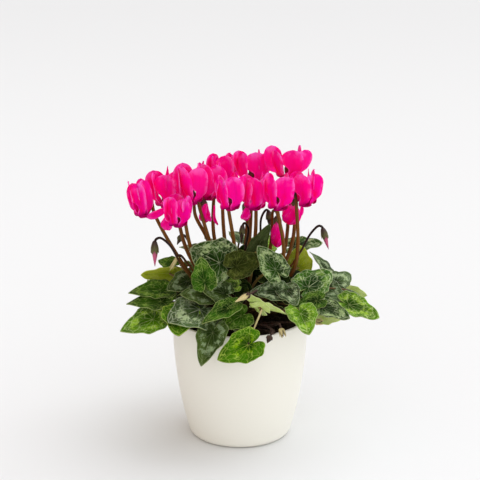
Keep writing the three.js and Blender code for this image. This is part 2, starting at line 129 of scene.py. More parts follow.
def turned(profile, steps):
    """A round body: the profile, radius and height pairs, is drawn as a line of edges and spun."""
    deselect()
    bpy.ops.mesh.primitive_plane_add(size=MM)
    body = bpy.context.object
    bpy.ops.object.mode_set(mode="EDIT")
    bpy.ops.mesh.select_all(action="SELECT")
    bpy.ops.mesh.merge(type="CENTER")
    bpy.ops.transform.translate(value=(profile[0][0], 0, profile[0][1]))
    for (radius, height), (next_radius, next_height) in zip(profile, profile[1:]):
        move = (next_radius - radius, 0, next_height - height)
        bpy.ops.mesh.extrude_vertices_move(TRANSFORM_OT_translate={"value": move})
    bpy.ops.mesh.select_all(action="SELECT")
    bpy.ops.mesh.spin(steps=steps, angle=2 * math.pi, center=(0, 0, 0), axis=(0, 0, 1))
    bpy.ops.object.mode_set(mode="OBJECT")
    merge_doubles(body, outward=True)
    return body


def joined(pieces):
    deselect()
    for piece in pieces:
        piece.select_set(True)
    bpy.context.view_layer.objects.active = pieces[0]
    if len(pieces) > 1:
        bpy.ops.object.join()
    return pieces[0]


def way(azimuth, elevation=0.0):
    """The direction with this azimuth and elevation in degrees, one unit long."""
    turn, lift = math.radians(azimuth), math.radians(elevation)
    return Vector((math.cos(lift) * math.cos(turn), math.cos(lift) * math.sin(turn), math.sin(lift)))


def round_axis(radius, angle, height):
    """Places round the Z axis, from a radius, an angle and a height for each."""
    return np.stack([radius * np.cos(angle), radius * np.sin(angle), height], 1)


def pointing(start, end):
    """A frame at start whose Z runs to end, in metres for a piece made in millimetres."""
    turn = UP.rotation_difference((end - start).normalized()).to_matrix().to_4x4()
    return Matrix.Translation(start) @ turn @ Matrix.Scale(MM, 4)


def through(points, count):
    """A smooth line of count + 1 points that passes through all the given ones."""
    ends = [points[0] * 2 - points[1], *points, points[-1] * 2 - points[-2]]
    line = []
    for k in range(count + 1):
        at = k / count * (len(points) - 1)
        start = min(int(at), len(points) - 2)
        p0, p1, p2, p3 = ends[start : start + 4]
        d0, d1, d2 = (math.sqrt((b - a).length) for a, b in ((p0, p1), (p1, p2), (p2, p3)))
        pull1 = ((p1 - p0) / d0 - (p2 - p0) / (d0 + d1) + (p2 - p1) / d1) * d1
        pull2 = ((p2 - p1) / d1 - (p3 - p1) / (d1 + d2) + (p3 - p2) / d2) * d1
        t = at - start
        line.append(
            p1 * (2 * t**3 - 3 * t**2 + 1)
            + pull1 * (t**3 - 2 * t**2 + t)
            + p2 * (3 * t**2 - 2 * t**3)
            + pull2 * (t**3 - t**2)
        )
    return line


def pulls(t):
    """How much each of a curve's four points counts at t, which runs from 0 to 1."""
    return [(1 - t) ** 3, 3 * t * (1 - t) ** 2, 3 * t**2 * (1 - t), t**3]


def bent(points, count):
    """A line of count + 1 points from the first to the last of four, bent by the two between."""
    shares = [pulls(k / count) for k in range(count + 1)]
    return [sum((point * pull for point, pull in zip(points, share)), Vector()) for share in shares]


def tubes(lines):
    """Round stalks along the given lines, each a list of points with a radius for each point."""
    deselect()
    bpy.ops.curve.primitive_bezier_curve_add()
    curve = bpy.context.object
    curve.data.splines.clear()
    curve.data.bevel_depth = 1
    curve.data.bevel_resolution = 3
    curve.data.use_fill_caps = True
    for points, radii in lines:
        spline = curve.data.splines.new("POLY")
        spline.points.add(len(points) - 1)
        for knot, point, radius in zip(spline.points, points, radii):
            knot.co = (*point, 1)
            knot.radius = radius
    bpy.ops.object.convert(target="MESH")
    return bpy.context.object


def tapered(line, root, tip):
    """The line with a radius for each of its points, from root to tip."""
    return line, np.linspace(root, tip, len(line))


def dressed(piece, name, material=None, nodes=(), crease=None):
    """The finished piece: its name, material and shading, what it stands for and rides on."""
    pick(piece)
    piece.name = name
    piece.data.name = name
    if material:
        piece.data.materials.clear()
        piece.data.materials.append(material)
    if crease is None:
        bpy.ops.object.shade_smooth()
    else:
        bpy.ops.object.shade_smooth_by_angle(angle=math.radians(crease))
    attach(piece, "root")
    if nodes:
        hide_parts(*nodes)
    return piece


# Material helpers


def srgb(code):
    """A colour given as on a paint card, #rrggbb, in the linear values that shaders take."""
    parts = [int(code[k : k + 2], 16) / 255 for k in (1, 3, 5)]
    return tuple(p / 12.92 if p <= 0.04045 else ((p + 0.055) / 1.055) ** 2.4 for p in parts)


def darker(colour, share):
    return tuple(part * share for part in colour)


class Value:
    """What a node of a material gives out. Sums and products of values add Math nodes."""

    def __init__(self, skin, socket):
        self.skin = skin
        self.socket = socket

    def __add__(self, other):
        return self.skin.math("ADD", self, other)

    def __sub__(self, other):
        return self.skin.math("SUBTRACT", self, other)

    def __mul__(self, other):
        return self.skin.math("MULTIPLY", self, other)

    def __abs__(self):
        return self.skin.math("ABSOLUTE", self)


class Finish:
    """A material under construction. Most methods add a node and give back its value."""

    def __init__(self, name, **sockets):
        self.material = bpy.data.materials.new(name)
        self.material.use_nodes = True
        self.tree = self.material.node_tree
        self.shader = self.tree.nodes["Principled BSDF"]
        for socket, value in sockets.items():
            self.shader.inputs[socket.replace("_", " ")].default_value = value
        self.coordinates = self.tree.nodes.new("ShaderNodeTexCoord")

    def node(self, kind, *inputs, **settings):
        """A new node with these settings, its first inputs linked or set in order."""
        made = self.tree.nodes.new("ShaderNode" + kind)
        for name, value in settings.items():
            setattr(made, name, value)
        for socket, value in zip(made.inputs, inputs):
            self.put(socket, value)
        return made

    def put(self, socket, value):
        if isinstance(value, Value):
            self.tree.links.new(value.socket, socket)
        elif socket.type == "RGBA":
            socket.default_value = (*(srgb(value) if isinstance(value, str) else value), 1)
        else:
            socket.default_value = value

    def place(self):
        return Value(self, self.coordinates.outputs["Object"])

    def along(self, axis):
        """How far a point lies along X, Y or Z, as 0, 1 or 2."""
        return Value(self, self.node("SeparateXYZ", self.place()).outputs[axis])

    def flat(self):
        """The two coordinates of the piece's own map."""
        split = self.node("SeparateXYZ", Value(self, self.coordinates.outputs["UV"]))
        return Value(self, split.outputs[0]), Value(self, split.outputs[1])

    def kept(self, name):
        """A value that the mesh keeps for each of its corners."""
        return Value(self, self.node("Attribute", attribute_name=name).outputs["Fac"])

    def math(self, operation, *terms):
        return Value(self, self.node("Math", *terms, operation=operation).outputs[0])

    def vector(self, x, y, z=0.0):
        return Value(self, self.node("CombineXYZ", x, y, z).outputs[0])

    def stretched(self, vector, scale):
        made = self.node("Mapping", vector)
        made.inputs["Scale"].default_value = scale
        return Value(self, made.outputs[0])

    def cloud(self, vector, scale, detail=3.0, roughness=0.5):
        made = self.node("TexNoise", vector)
        made.inputs["Scale"].default_value = scale
        made.inputs["Detail"].default_value = detail
        made.inputs["Roughness"].default_value = roughness
        return Value(self, made.outputs["Fac"])

    def streaks(self, across, along):
        """Fine streaks that run along the piece's own map."""
        return self.cloud(self.stretched(self.vector(*self.flat()), (across, along, 1)), 1)

    def cells(self, vector, scale):
        """How far a point lies from the border of its cell."""
        made = self.node("TexVoronoi", vector, feature="DISTANCE_TO_EDGE")
        made.inputs["Scale"].default_value = scale
        return Value(self, made.outputs["Distance"])

    def ramp(self, value, low, high, to_low=0.0, to_high=1.0):
        """A smooth step: to_low where value is low, to_high where it is high."""
        made = self.node("MapRange", value, low, high, to_low, to_high, interpolation_type="SMOOTHSTEP")
        return Value(self, made.outputs[0])

    def mix(self, share, first, second):
        """The first colour where share is 0, the second where it is 1."""
        made = self.node("Mix", share, data_type="RGBA")
        self.put(made.inputs[6], first)
        self.put(made.inputs[7], second)
        return Value(self, made.outputs[2])

    def relief(self, height, depth, strength=1.0):
        made = self.node("Bump")
        made.inputs["Strength"].default_value = strength
        made.inputs["Distance"].default_value = depth
        self.put(made.inputs["Height"], height)
        self.put(self.shader.inputs["Normal"], Value(self, made.outputs[0]))

    def colour(self, value):
        self.put(self.shader.inputs["Base Color"], value)

    def roughness(self, value):
        self.put(self.shader.inputs["Roughness"], value)


# Settings


def size_setting(name, description, millimetres):
    return FloatProperty(
        name=name, description=description, default=millimetres * MM, min=0, unit="LENGTH", precision=4
    )


def colour_setting(name, description, code):
    return FloatVectorProperty(
        name=name, description=description, default=srgb(code), size=3, min=0, max=1, subtype="COLOR"
    )


def share_setting(name, description, default, high=1.0):
    return FloatProperty(name=name, description=description, default=default, min=0, max=high)


class CyclamenPotSettings(bpy.types.PropertyGroup):
    height: size_setting("Height", "Height of the pot's rim", 125)
    rim_radius: size_setting("Rim radius", "Outer radius of the pot at its rim", 67.6)
    wall: size_setting("Wall", "Thickness of the pot's wall", 3.2)
    colour: colour_setting("Colour", "Colour of the pot", "#f8f5ea")


class CyclamenSoilSettings(bpy.types.PropertyGroup):
    level: size_setting("Level", "Height of the soil in the pot", 113)
    lumps: size_setting("Lumps", "Height of the soil's lumps", 2.2)
    crumbs: IntProperty(name="Crumbs", description="Loose crumbs on the soil", default=420, min=1)
    colour: colour_setting("Colour", "Colour of damp soil", "#35240f")


class CyclamenLeafSettings(bpy.types.PropertyGroup):
    thickness: size_setting("Thickness", "Thickness of a blade", 0.6)
    teeth: share_setting("Teeth", "Depth of the rim's teeth, as a share of the blade", 0.022)
    creases: share_setting("Creases", "Depth of the creases over the veins, as a share", 0.01)
    deep: colour_setting("Deep green", "The darkest green of a blade", "#0e2202")
    green: colour_setting("Green", "The plain green of a blade", "#2a5004")
    silver: colour_setting("Silver", "The marbled band of a blade", "#a2b87a")
    vein: colour_setting("Veins", "The veins of a blade", "#d0deac")
    underside: colour_setting("Underside", "The underside of a blade", "#808f44")


class CyclamenBloomSettings(bpy.types.PropertyGroup):
    thickness: size_setting("Thickness", "Thickness of a petal", 0.5)
    frill: size_setting("Frill", "Waves along a petal's edge", 0.9)
    petal: colour_setting("Petal", "Colour of a petal", "#ff0090")
    # The paler edge colour is a painted highlight along the petals' edges and tops.
    edge: colour_setting("Edge", "Paler colour along a petal's edge", "#ff6cc4")
    mouth: colour_setting("Mouth", "Dark ring where the petals turn back", "#96005c")


class CyclamenStalkSettings(bpy.types.PropertyGroup):
    leaf_root: size_setting("Leaf stalk root", "Radius of a leaf stalk at the corm", 1.5)
    leaf_tip: size_setting("Leaf stalk tip", "Radius of a leaf stalk at its blade", 0.95)
    bloom_root: size_setting("Flower stalk root", "Radius of a flower stalk at the corm", 2.1)
    bloom_tip: size_setting("Flower stalk tip", "Radius of a flower stalk at its bloom", 1.35)
    brown: colour_setting("Brown", "Colour of the flower stalks", "#7a480f")
    dark: colour_setting("Dark", "Colour of the hooks and roots of the stalks", "#230d04")
    straw: colour_setting("Straw", "Colour of pale leaf stalks and dry sepals", "#b7a35f")


class CyclamenStageSettings(bpy.types.PropertyGroup):
    floor: colour_setting("Floor", "Colour of the floor", "#e8e8e8")
    key: share_setting("Key light", "Strength of the wide light from above", 1.1, 50)
    key_colour: colour_setting("Key colour", "Colour of the light from above", "#f4f9ff")
    fill: share_setting("Fill light", "Strength of the light from the right", 1.09, 5)
    fill_colour: colour_setting("Fill colour", "Colour of the light from the right", "#fdfeff")
    dim: share_setting("Dim light", "Strength of the light from the left", 0.29, 5)
    dim_colour: colour_setting("Dim colour", "Colour of the light from the left", "#ffc27c")
    lens: FloatProperty(name="Lens", description="Focal length in millimetres", default=118.3, min=1)


GROUPS = {
    "cyclamen_pot": CyclamenPotSettings,
    "cyclamen_soil": CyclamenSoilSettings,
    "cyclamen_leaf": CyclamenLeafSettings,
    "cyclamen_bloom": CyclamenBloomSettings,
    "cyclamen_stalk": CyclamenStalkSettings,
    "cyclamen_stage": CyclamenStageSettings,
}


# Leaves

# Each leaf: where its stalk meets it, its tip, the azimuth and elevation that its upper side
# faces, its look, and what differs from a plain one. In millimetres and degrees.
LEAVES = {
    "leaf_left_low": ((-85, -35, 131), (-117, -45, 124), (-100, 50), "fresh", dict(width=0.9)),
    "leaf_left_mid": ((-78, -15, 155), (-109, -26, 157), (-100, 55), "dark", dict(width=0.7)),
    "leaf_left_pale": ((-70, 6, 165), (-99, 0, 167), (80, 24), "lime", dict(width=0.72, fold=-0.25)),
    "leaf_left_dark": ((-77, -28, 147), (-111, -34, 149), (-95, 66), "dark", dict(width=0.75)),
    "leaf_left_pointed": ((-57, -50, 142), (-58, -78, 132), (-90, 45), "bright", dict(width=1.25)),
    "leaf_silver": ((-39, -48, 146), (-68, -72, 144), (-115, 46), "silver", dict(fold=-0.1, width=1.3)),
    "leaf_round": ((-34, -53, 177), (-38, -50, 200), (-95, 8), "netted", dict(width=1.02)),
    "leaf_crest_left": ((-20, -28, 187), (-48, -26, 202), (-85, 32), "marbled", dict(width=1.45)),
    "leaf_behind_left": ((-41, 27, 182), (-61, 27, 187), (-90, 75), "marbled", dict(width=0.8)),
    "leaf_olive": ((-3, -38, 187), (23, -31, 194), (-92, 30), "olive", dict(fold=0.3)),
    "leaf_crest_mid": ((34, -45, 186), (17, -37, 208), (-75, 20), "marbled", dict(width=0.9)),
    "leaf_upright": ((15, -10, 192), (29, -8, 222), (90, 15), "olive", dict(width=0.55)),
    "leaf_right_rear": ((56, 44, 181), (84, 46, 186), (-95, 68), "marbled", dict(width=0.85, rise=0.6)),
    "leaf_lime": ((59, 32, 162), (60, 29, 188), (95, 5), "lime", dict(width=1.1)),
    "leaf_right_edge": ((88, 36, 157), (72, 40, 178), (-20, 30), "silver", dict(width=0.8)),
    "leaf_bright": ((67, -22, 160), (92, 2, 170), (-80, 55), "veined", dict(width=0.95)),
    "leaf_right_far": ((97, 20, 150), (114, 40, 154), (-60, 55), "silver", dict(width=0.9)),
    "leaf_right_silver": ((88, -2, 147), (121, -6, 145), (-90, 62), "silver", dict(width=0.7)),
    "leaf_right_low": ((107, -23, 142), (137, -33, 134), (-78, 60), "fresh", dict(width=0.9)),
    "leaf_right_front": ((80, -47, 148), (106, -59, 143), (-80, 62), "marbled", dict(width=0.9)),
    "leaf_front_right": ((58, -59, 146), (66, -83, 135), (-75, 40), "fresh", dict(fold=0.3, width=1.1)),
    "leaf_curled": ((21, -59, 151), (49, -60, 147), (90, 45), "pale", dict(width=0.38, fold=1.0)),
    "leaf_center_silver": ((46, -36, 161), (55, -56, 155), (-100, 60), "silver", {}),
    "leaf_front_left": ((-26, -71, 131), (-38, -92, 110), (-95, 48), "smoky", dict(droop=0.4, width=0.88)),
    "leaf_front": ((8, -87, 125), (-22, -93, 112), (-95, 28), "bright", dict(width=0.95, lift=18)),
    "leaf_long": (
        (-11, -56, 150), (-36, -75, 143), (-80, 55), "netted", dict(width=0.6, fold=0.5, wave=0.11)
    ),
    "leaf_center_left": ((-16, -43, 161), (-38, -46, 168), (-90, 40), "smoky", {}),
}

# Rings of leaves on the rear side: count, first azimuth and step, reach, length, height, drop
REAR_RINGS = {
    "leaf_rear_low": (6, 40, 22, 84, 34, 138, 9),
    "leaf_rear_mid": (5, 54, 20, 57, 32, 160, 2),
    "leaf_rear_high": (3, 62, 28, 49, 27, 182, -4),
}
REAR_LOOKS = ("dark", "marbled", "veined", "fresh", "marbled", "silver", "dark")
REAR_TURN, REAR_TILT = -62, 62

# Small leaves low in the clump; the shaded ones carry painted shade
INNER_LEAVES = [
    ((74, -42, 153), (52, -48, 150), (-90, 50), "netted", dict(width=0.85)),
    ((82, -32, 136), (101, -40, 135), (85, -20), "pale", {}),
    ((20, -59, 152), (4, -56, 167), (75, 15), "pale", dict(width=0.6)),
    ((36, -36, 160), (10, -42, 163), (-90, 42), "silver", dict(width=0.8, fold=0.4)),
    ((1, -58, 143), (-18, -69, 136), (-90, 40), "dark", dict(width=1.2, wave=0.09)),
    ((-52, -10, 162), (-71, -25, 159), (-95, 40), "smoky", {}),
    ((-5, -33, 166), (-19, -37, 168), (-85, 40), "fresh", {}),
    ((-69, 42, 162), (-84, 50, 165), (-90, 50), "dark", {}),
    ((-38, -10, 150), (-63, -18, 145), (-95, 50), "shaded", {}),
    ((86, 0, 152), (104, -8, 144), (-90, 50), "silver", {}),
    ((38, -8, 163), (52, -20, 158), (-90, 45), "shaded", {}),
    ((64, -16, 143), (84, -26, 138), (-90, 45), "dark", {}),
    ((92, -4, 142), (108, -14, 138), (-90, 45), "dark", {}),
    ((112, 6, 145), (127, 1, 143), (80, -20), "pale", dict(width=0.8)),
    ((6, 14, 178), (30, 6, 174), (-90, 30), "shaded", {}),
    ((14, 6, 158), (36, -4, 156), (-90, 30), "shaded", {}),
    ((-8, -12, 160), (12, -20, 158), (-90, 35), "shaded", {}),
    ((-20, -8, 172), (2, -14, 182), (-90, 30), "shaded", {}),
    ((-33, -38, 158), (-58, -43, 161), (-95, 45), "smoky", dict(width=0.9)),
]

# More small leaves under the dome of the clump: count, distance from the middle, sag of the dome
UNDERSTOREY = [(9, 28, 12), (13, 50, 14), (17, 70, 12), (12, 42, 30), (15, 62, 28), (15, 48, 46)]
# Most of these leaves take the shaded look, painted shade for the inside of the clump.
UNDER_LOOKS = ("shaded", "shaded", "dark", "shaded", "veined")
DOME_TOP = 191
LOWEST_SEAT = 134
LOWEST_TIP = 132

PLAIN_LEAF = dict(width=1.0, fold=0.18, droop=0.1, wave=0.05, phase=0.0, rise=0.38, approach=0.14, lift=6.0)

# The main veins fan out from the seat. Vein k leaves it at FIRST k + WIDEN k^2 degrees, and bends
# towards the tip on its way to the rim.
FIRST, WIDEN, BEND = 34.0, 4.0, 0.6

# Where the seat lies on a blade's own map, which is two blade lengths wide
SEAT_ACROSS, SEAT_ALONG = 0.35, 0.5

# The looks of the blades: deep and plain green, marbled band, veins, how strong the band and the
# veins are, and how far out the band starts. A marbled blade has the panel's own colours.
LEAF_LOOKS = {
    # The shaded look is painted shade: very dark greens for leaves deep inside the clump.
    "shaded": ("#050f00", "#0f2600", "#3a5218", "#68803a", 0.3, 0.4),
    "dark": ("#0e2200", "#2f5800", "#74962c", "#b6cc70", 0.5, 0.65, 0.5),
    "veined": ("#0d2a00", "#2e5e00", "#8cae46", "#dcebb4", 0.45, 0.85, 0.56),
    "netted": ("#0f2a01", "#2f6204", "#739a2c", "#b8d070", 0.35, 0.75, 0.5),
    "fresh": ("#224600", "#5f9200", "#b0d444", "#dcee9a", 0.65, 0.85, 0.42),
    "bright": ("#214600", "#437800", "#8eb80e", "#c8e060", 0.65, 0.75, 0.22),
    "silver": ("#22340f", "#4c6434", "#a8bc8a", "#d4e0bc", 0.95, 0.6, 0.4),
    "smoky": ("#1b2c06", "#455a20", "#8a9e74", "#b0c088", 0.9, 0.4, 0.42),
    # The olive look is partly the leaves' own olive tone, partly painted shade for leaves that sit among
    # the others.
    "olive": ("#161c03", "#2f3908", "#5f682a", "#858c4a", 0.5, 0.6),
    "lime": ("#5a6a06", "#7e8e0c", "#a4b038", "#bec664", 0.4, 0.5),
    "pale": ("#2c5014", "#5a8030", "#9ab068", "#bccb8c", 0.5, 0.5),
}
MARBLED = (0.85, 0.8, 0.53)

# Undersides that differ from the plain one: deep and plain green, veins
UNDERSIDES = {
    "olive": ("#2b3412", "#46542a", "#6e7a4c"),
    "lime": ("#98a818", "#b8c232", "#d8de74"),
    "pale": ("#b4d05c", "#d6ea86", "#eef6c0"),
}
UNDER_VEIN = "#b3bf7e"


def leaf_from(seat, tip, face, look, more):
    leaf = dict(PLAIN_LEAF, seat=Vector(seat) * MM, tip=Vector(tip) * MM, face=face, look=look)
    leaf.update(more)
    leaf["length"] = (leaf["tip"] - leaf["seat"]).length
    return leaf


def all_leaves():
    """Every leaf that is a node of its own, by its node's name."""
    leaves = {name: leaf_from(*row) for name, row in LEAVES.items()}
    for ring, (count, first, step, radius, length, height, drop) in REAR_RINGS.items():
        for k in range(count):
            azimuth = first + step * k
            reach = radius + (3 if k % 2 else -2)
            seat = way(azimuth) * reach + UP * (height + (2.5 if k % 2 else -1.5))
            tip = way(azimuth) * (reach + length) + UP * (height - drop)
            face = (azimuth + REAR_TURN, REAR_TILT)
            look = REAR_LOOKS[(k + count) % len(REAR_LOOKS)]
            leaves[f"{ring}_{k + 1}"] = leaf_from(seat, tip, face, look, dict(phase=float(k)))
    return leaves


def understorey():
    """Leaves that fill the clump under the outer ones, placed ring by ring with a seeded chance."""
    chance = random.Random(23)
    leaves = []
    for count, radius, sag in UNDERSTOREY:
        for k in range(count):
            azimuth = 360 / count * (k + chance.uniform(-0.3, 0.3))
            near = radius + chance.uniform(-5, 5)
            length = chance.uniform(17, 24)
            front = max(-math.sin(math.radians(azimuth)), 0)
            bare_soil = front > 0.5 and near > 38 and 270 < azimuth < 350
            if bare_soil or front > 0.3 and near > 56:
                continue
            dome = DOME_TOP - sag - 14 * front - (0.0052 + 0.0028 * front) * near**2
            level = max(dome + chance.uniform(-4, 4), LOWEST_SEAT)
            drop = min(length * chance.uniform(0.1, 0.5), level - LOWEST_TIP)
            seat = way(azimuth) * near + UP * level
            tip = way(azimuth) * (near + length * 0.9) + UP * (level - drop)
            face = (azimuth + chance.uniform(-30, 30), chance.uniform(45, 70))
            more = dict(phase=chance.uniform(0, 6), width=chance.uniform(0.85, 1.05))
            leaves.append(leaf_from(seat, tip, face, chance.choice(UNDER_LOOKS), more))
    return leaves


def inner_leaves():
    return [leaf_from(*row) for row in INNER_LEAVES] + understorey()


def heart_reach(angle):
    """How far the blade's rim lies from its seat, for an angle in degrees from the midrib."""
    tip = 0.5 * np.exp(-((angle / 27) ** 1.3))
    shoulders = 0.05 * np.exp(-(((angle - 62) / 13) ** 2)) + 0.035 * np.exp(-(((angle - 115) / 14) ** 2))
    notch = 0.45 * np.exp(-(((180 - angle) / 9) ** 1.2))
    return 0.49 + tip + shoulders - notch


def vein_distance(x, y):
    """How far a point of the blade lies from the nearest main vein, in blade lengths."""
    reach = np.hypot(x, y)
    angle = np.degrees(np.abs(np.arctan2(y, x))) * (1 + BEND * reach)
    count = (np.sqrt(FIRST**2 + 4 * WIDEN * angle) - FIRST) / (2 * WIDEN)
    return np.abs(count - np.round(count)) * np.radians(FIRST + 2 * WIDEN * count) * reach


def leaf_frame(leaf):
    """The ways that point along the blade, across it and out of its upper side."""
    along = (leaf["tip"] - leaf["seat"]).normalized()
    facing = way(*leaf["face"])
    normal = (facing - along * facing.dot(along)).normalized()
    return along, normal.cross(along), normal


def make_blade(leaf, settings, look, columns=88, rows=12):
    """One blade: a grid bent round the seat into a heart, waved, creased and given thickness.

    The look holds the materials of its upper side and its underside. Bending the grid turns it
    over, so its own faces are the underside and those that Solidify adds are the upper side.
    """
    sheet, across, out = grid(columns, rows)
    side = 2 * across - 1
    degrees = 180 * (side - 0.6 * np.sin(2 * np.pi * side) / (2 * np.pi))
    angle = np.radians(degrees)
    size = np.abs(degrees)
    teeth = settings.teeth * (np.abs(np.sin(np.radians(size * 5.2) + leaf["phase"])) * 2 - 1)
    teeth *= np.clip((175 - size) / 30, 0, 1) * np.clip(size / 12, 0, 1)
    reach = out**0.9 * heart_reach(size) * (1 + teeth * out**3)
    x = reach * np.cos(angle)
    y = reach * np.sin(angle)
    wide = y * leaf["width"]
    height = leaf["fold"] * (np.hypot(wide, 0.06) - 0.06) - leaf["droop"] * x * np.abs(x)
    height += leaf["wave"] * reach**2 * np.sin(4 * angle + leaf["phase"])
    height += 0.022 * out**4 * np.sin(9 * angle + 2.3 * leaf["phase"] + 7 * leaf["length"])
    crease = np.exp(-((vein_distance(x, y) / 0.028) ** 2)) * np.clip(reach / 0.1, 0, 1)
    height -= settings.creases * crease * (1.2 - out)
    places = np.stack([x, wide, height], 1) * leaf["length"] @ np.array(leaf_frame(leaf))
    set_corners(sheet.data, places + np.array(leaf["seat"]))
    lay_map(sheet.data, x / 2 + SEAT_ACROSS, y / 2 + SEAT_ALONG)
    keep_value(sheet.data, "rim", out)
    for material in reversed(look):
        sheet.data.materials.append(material)
    merge_doubles(sheet)
    apply(sheet, "SOLIDIFY", thickness=settings.thickness, offset=0, material_offset=1)
    return sheet


def leaf_finish(name, deep, green, silver, vein, marbling, veining, band_from=0.46, under=False):
    """A blade's side: a fan of veins with a net between, a marbled band, a thin paler edge."""
    skin = Finish(
        name,
        Specular_IOR_Level=0.04,
        Subsurface_Weight=0.06,
        Subsurface_Radius=(0.0006, 0.0012, 0.0002),
        Subsurface_Scale=1.0,
    )
    rim = skin.kept("rim")
    wander = skin.cloud(skin.place(), 110, 2) - 0.5
    u, v = skin.flat()
    x = (u - SEAT_ACROSS) * 2
    y = (v - SEAT_ALONG) * 2
    reach = skin.math("SQRT", x * x + y * y)

    # The nearest main vein, as in vein_distance, with veins that waver towards the rim
    angle = abs(skin.math("ARCTAN2", y, x)) * math.degrees(1) * (reach * BEND + 1)
    angle = abs(wander * rim * 28 + angle)
    count = (skin.math("SQRT", angle * (4 * WIDEN) + FIRST**2) - FIRST) * (0.5 / WIDEN)
    gap = (count * (2 * WIDEN) + FIRST) * math.radians(1)
    distance = abs(count - skin.math("ROUND", count)) * gap * reach
    width = rim * -0.011 + 0.02
    main = skin.ramp(distance, width * 0.2, width, 1.0, 0.0)
    main = main * skin.ramp(rim, 0.3, 1.0, 1.0, 0.6) * skin.ramp(count, 0.4, 1.3, 0.9, 0.45)

    # The net between them, on a map that fans out with them
    fan = skin.vector(rim * 4.6 + wander * 1.6, count * 2.2 + wander * 0.9, skin.math("SIGN", y) * 5)
    net = skin.ramp(skin.cells(fan, 1.0), 0.0, 0.09, 1.0, 0.0)
    fine = skin.ramp(skin.cells(fan, 3.1), 0.03, 0.14, 1.0, 0.0)

    # The marbled band, flamed along the veins and broken into patches
    flames = skin.cloud(skin.stretched(fan, (0.5, 1.3, 1)), 1.1, 3, 0.6)
    level = rim + flames * 0.9 - 0.45
    band = skin.ramp(level, band_from, band_from + 0.09)
    band = band * skin.ramp(level, band_from + 0.26, band_from + 0.36, 1.0, 0.0)
    patches = skin.ramp(skin.cloud(skin.place(), 150, 4, 0.65), 0.43, 0.57, 0.05, 1.0)
    blotch = band * patches * marbling

    broad = skin.cloud(skin.place(), 60, 2)
    shade = skin.ramp(broad, 0.36, 0.64, 0.0, 0.7) + skin.ramp(rim, 0.1, 0.75, 0.0, 0.3)
    colour = skin.mix(blotch, skin.mix(shade, deep, green), silver)
    lines = skin.math("MAXIMUM", main, net * skin.ramp(rim, 0.1, 0.6, 0.0, 0.7))
    lines = skin.math("MAXIMUM", lines, fine * skin.ramp(rim, 0.3, 0.6, 0.0, 0.12))
    lines = lines * skin.ramp(patches, 0.0, 1.0, 0.55, 1.0)
    colour = skin.mix(lines * veining, colour, vein)
    skin.colour(skin.mix(skin.ramp(rim, 0.95, 0.995, 0.0, 0.5), colour, vein))
    skin.roughness(blotch * 0.15 + (0.5 if under else 0.36))
    skin.relief(fine * 0.3 + (net * 0.5 + main), 0.0006 if under else -0.0005)
    return skin.material


def leaf_looks(settings):
    """The looks of the blades, each with its upper side and its underside."""
    own = (settings.deep, settings.green, settings.silver, settings.vein)
    plain = (darker(settings.underside, 0.6), settings.underside, UNDER_VEIN)
    looks = {}
    for name, kind in {**LEAF_LOOKS, "marbled": (*own, *MARBLED)}.items():
        low, high, line = UNDERSIDES.get(name, plain)
        upper = leaf_finish(f"leaf_{name}_upper", *kind)
        lower = leaf_finish(f"leaf_{name}_under", low, high, line, line, 0.2, 0.6, under=True)
        looks[name] = (upper, lower)
    return looks


# The corm that every stalk grows from: the height of its middle, its radius and half its height
CORM_HEIGHT = 110 * MM
CORM_RADIUS = 24 * MM
CORM_HALF = 14 * MM
ROOT_DEPTH = 4 * MM


def corm_point(target, radius):
    """A point just under the corm's skin, on the side that faces the target."""
    heading = math.atan2(target.y, target.x)
    skin = CORM_HALF * math.sqrt(1 - (radius / CORM_RADIUS) ** 2)
    return Vector((radius * math.cos(heading), radius * math.sin(heading), CORM_HEIGHT - ROOT_DEPTH + skin))


def flower_root(knee):
    """Where the stalk that passes this knee grows from the corm."""
    return corm_point(knee, 0.2 * math.hypot(knee.x, knee.y))


def leaf_stalk_line(leaf):
    """A leaf's stalk rises from the corm and comes to the blade from below."""
    _, _, normal = leaf_frame(leaf)
    end = leaf["seat"] - normal * 0.15 * MM
    high = min(max((end.z / MM - 130) / 55, 0), 1)
    root = corm_point(end, (20 - 11 * high) * MM)
    span = (end - root).length
    start_pull = root + UP * span * (leaf["rise"] + 0.25 * high)
    end_pull = end - normal * span * leaf["approach"] + UP * leaf["lift"] * MM * (1 - high)
    return bent([root, start_pull, end_pull, end], 22)


class CYCLAMEN_OT_leaves(bpy.types.Operator):
    """The blades, each in its look"""

    bl_idname = "cyclamen.leaves"
    bl_label = "Leaves"

    def execute(self, context):
        settings = context.scene.cyclamen_leaf
        looks = leaf_looks(settings)
        for name, leaf in all_leaves().items():
            blade = make_blade(leaf, settings, looks[leaf["look"]])
            dressed(blade, f"{name}_blade", nodes=[name])
        for k, leaf in enumerate(inner_leaves(), 1):
            blade = make_blade(leaf, settings, looks[leaf["look"]], 56, 8)
            dressed(blade, f"inner_leaf_{k}")
        return {"FINISHED"}


class CYCLAMEN_OT_leaf_stalks(bpy.types.Operator):
    """The stalks of all the leaves, from the corm to the blades"""

    bl_idname = "cyclamen.leaf_stalks"
    bl_label = "Leaf stalks"

    def execute(self, context):
        settings = context.scene.cyclamen_stalk
        leaves = [*all_leaves().values(), *inner_leaves()]
        lines = [tapered(leaf_stalk_line(leaf), settings.leaf_root, settings.leaf_tip) for leaf in leaves]
        skin = Finish("leaf_stalk", Roughness=0.45, Specular_IOR_Level=0.25)
        grain = skin.cloud(skin.stretched(skin.place(), (1, 1, 0.15)), 900, 2)
        tone = skin.cloud(skin.place(), 60, 2) * 0.03 + skin.along(2)
        colour = skin.mix(skin.ramp(tone, 0.135, 0.165), settings.dark, "#6b5230")
        colour = skin.mix(skin.ramp(tone, 0.165, 0.19), colour, "#86743a")
        skin.colour(skin.mix(grain * 0.35, colour, "#59401f"))
        skin.relief(grain, 0.0002, 0.4)
        dressed(tubes(lines), "leaf_stalks", skin.material)
        return {"FINISHED"}


# Blooms

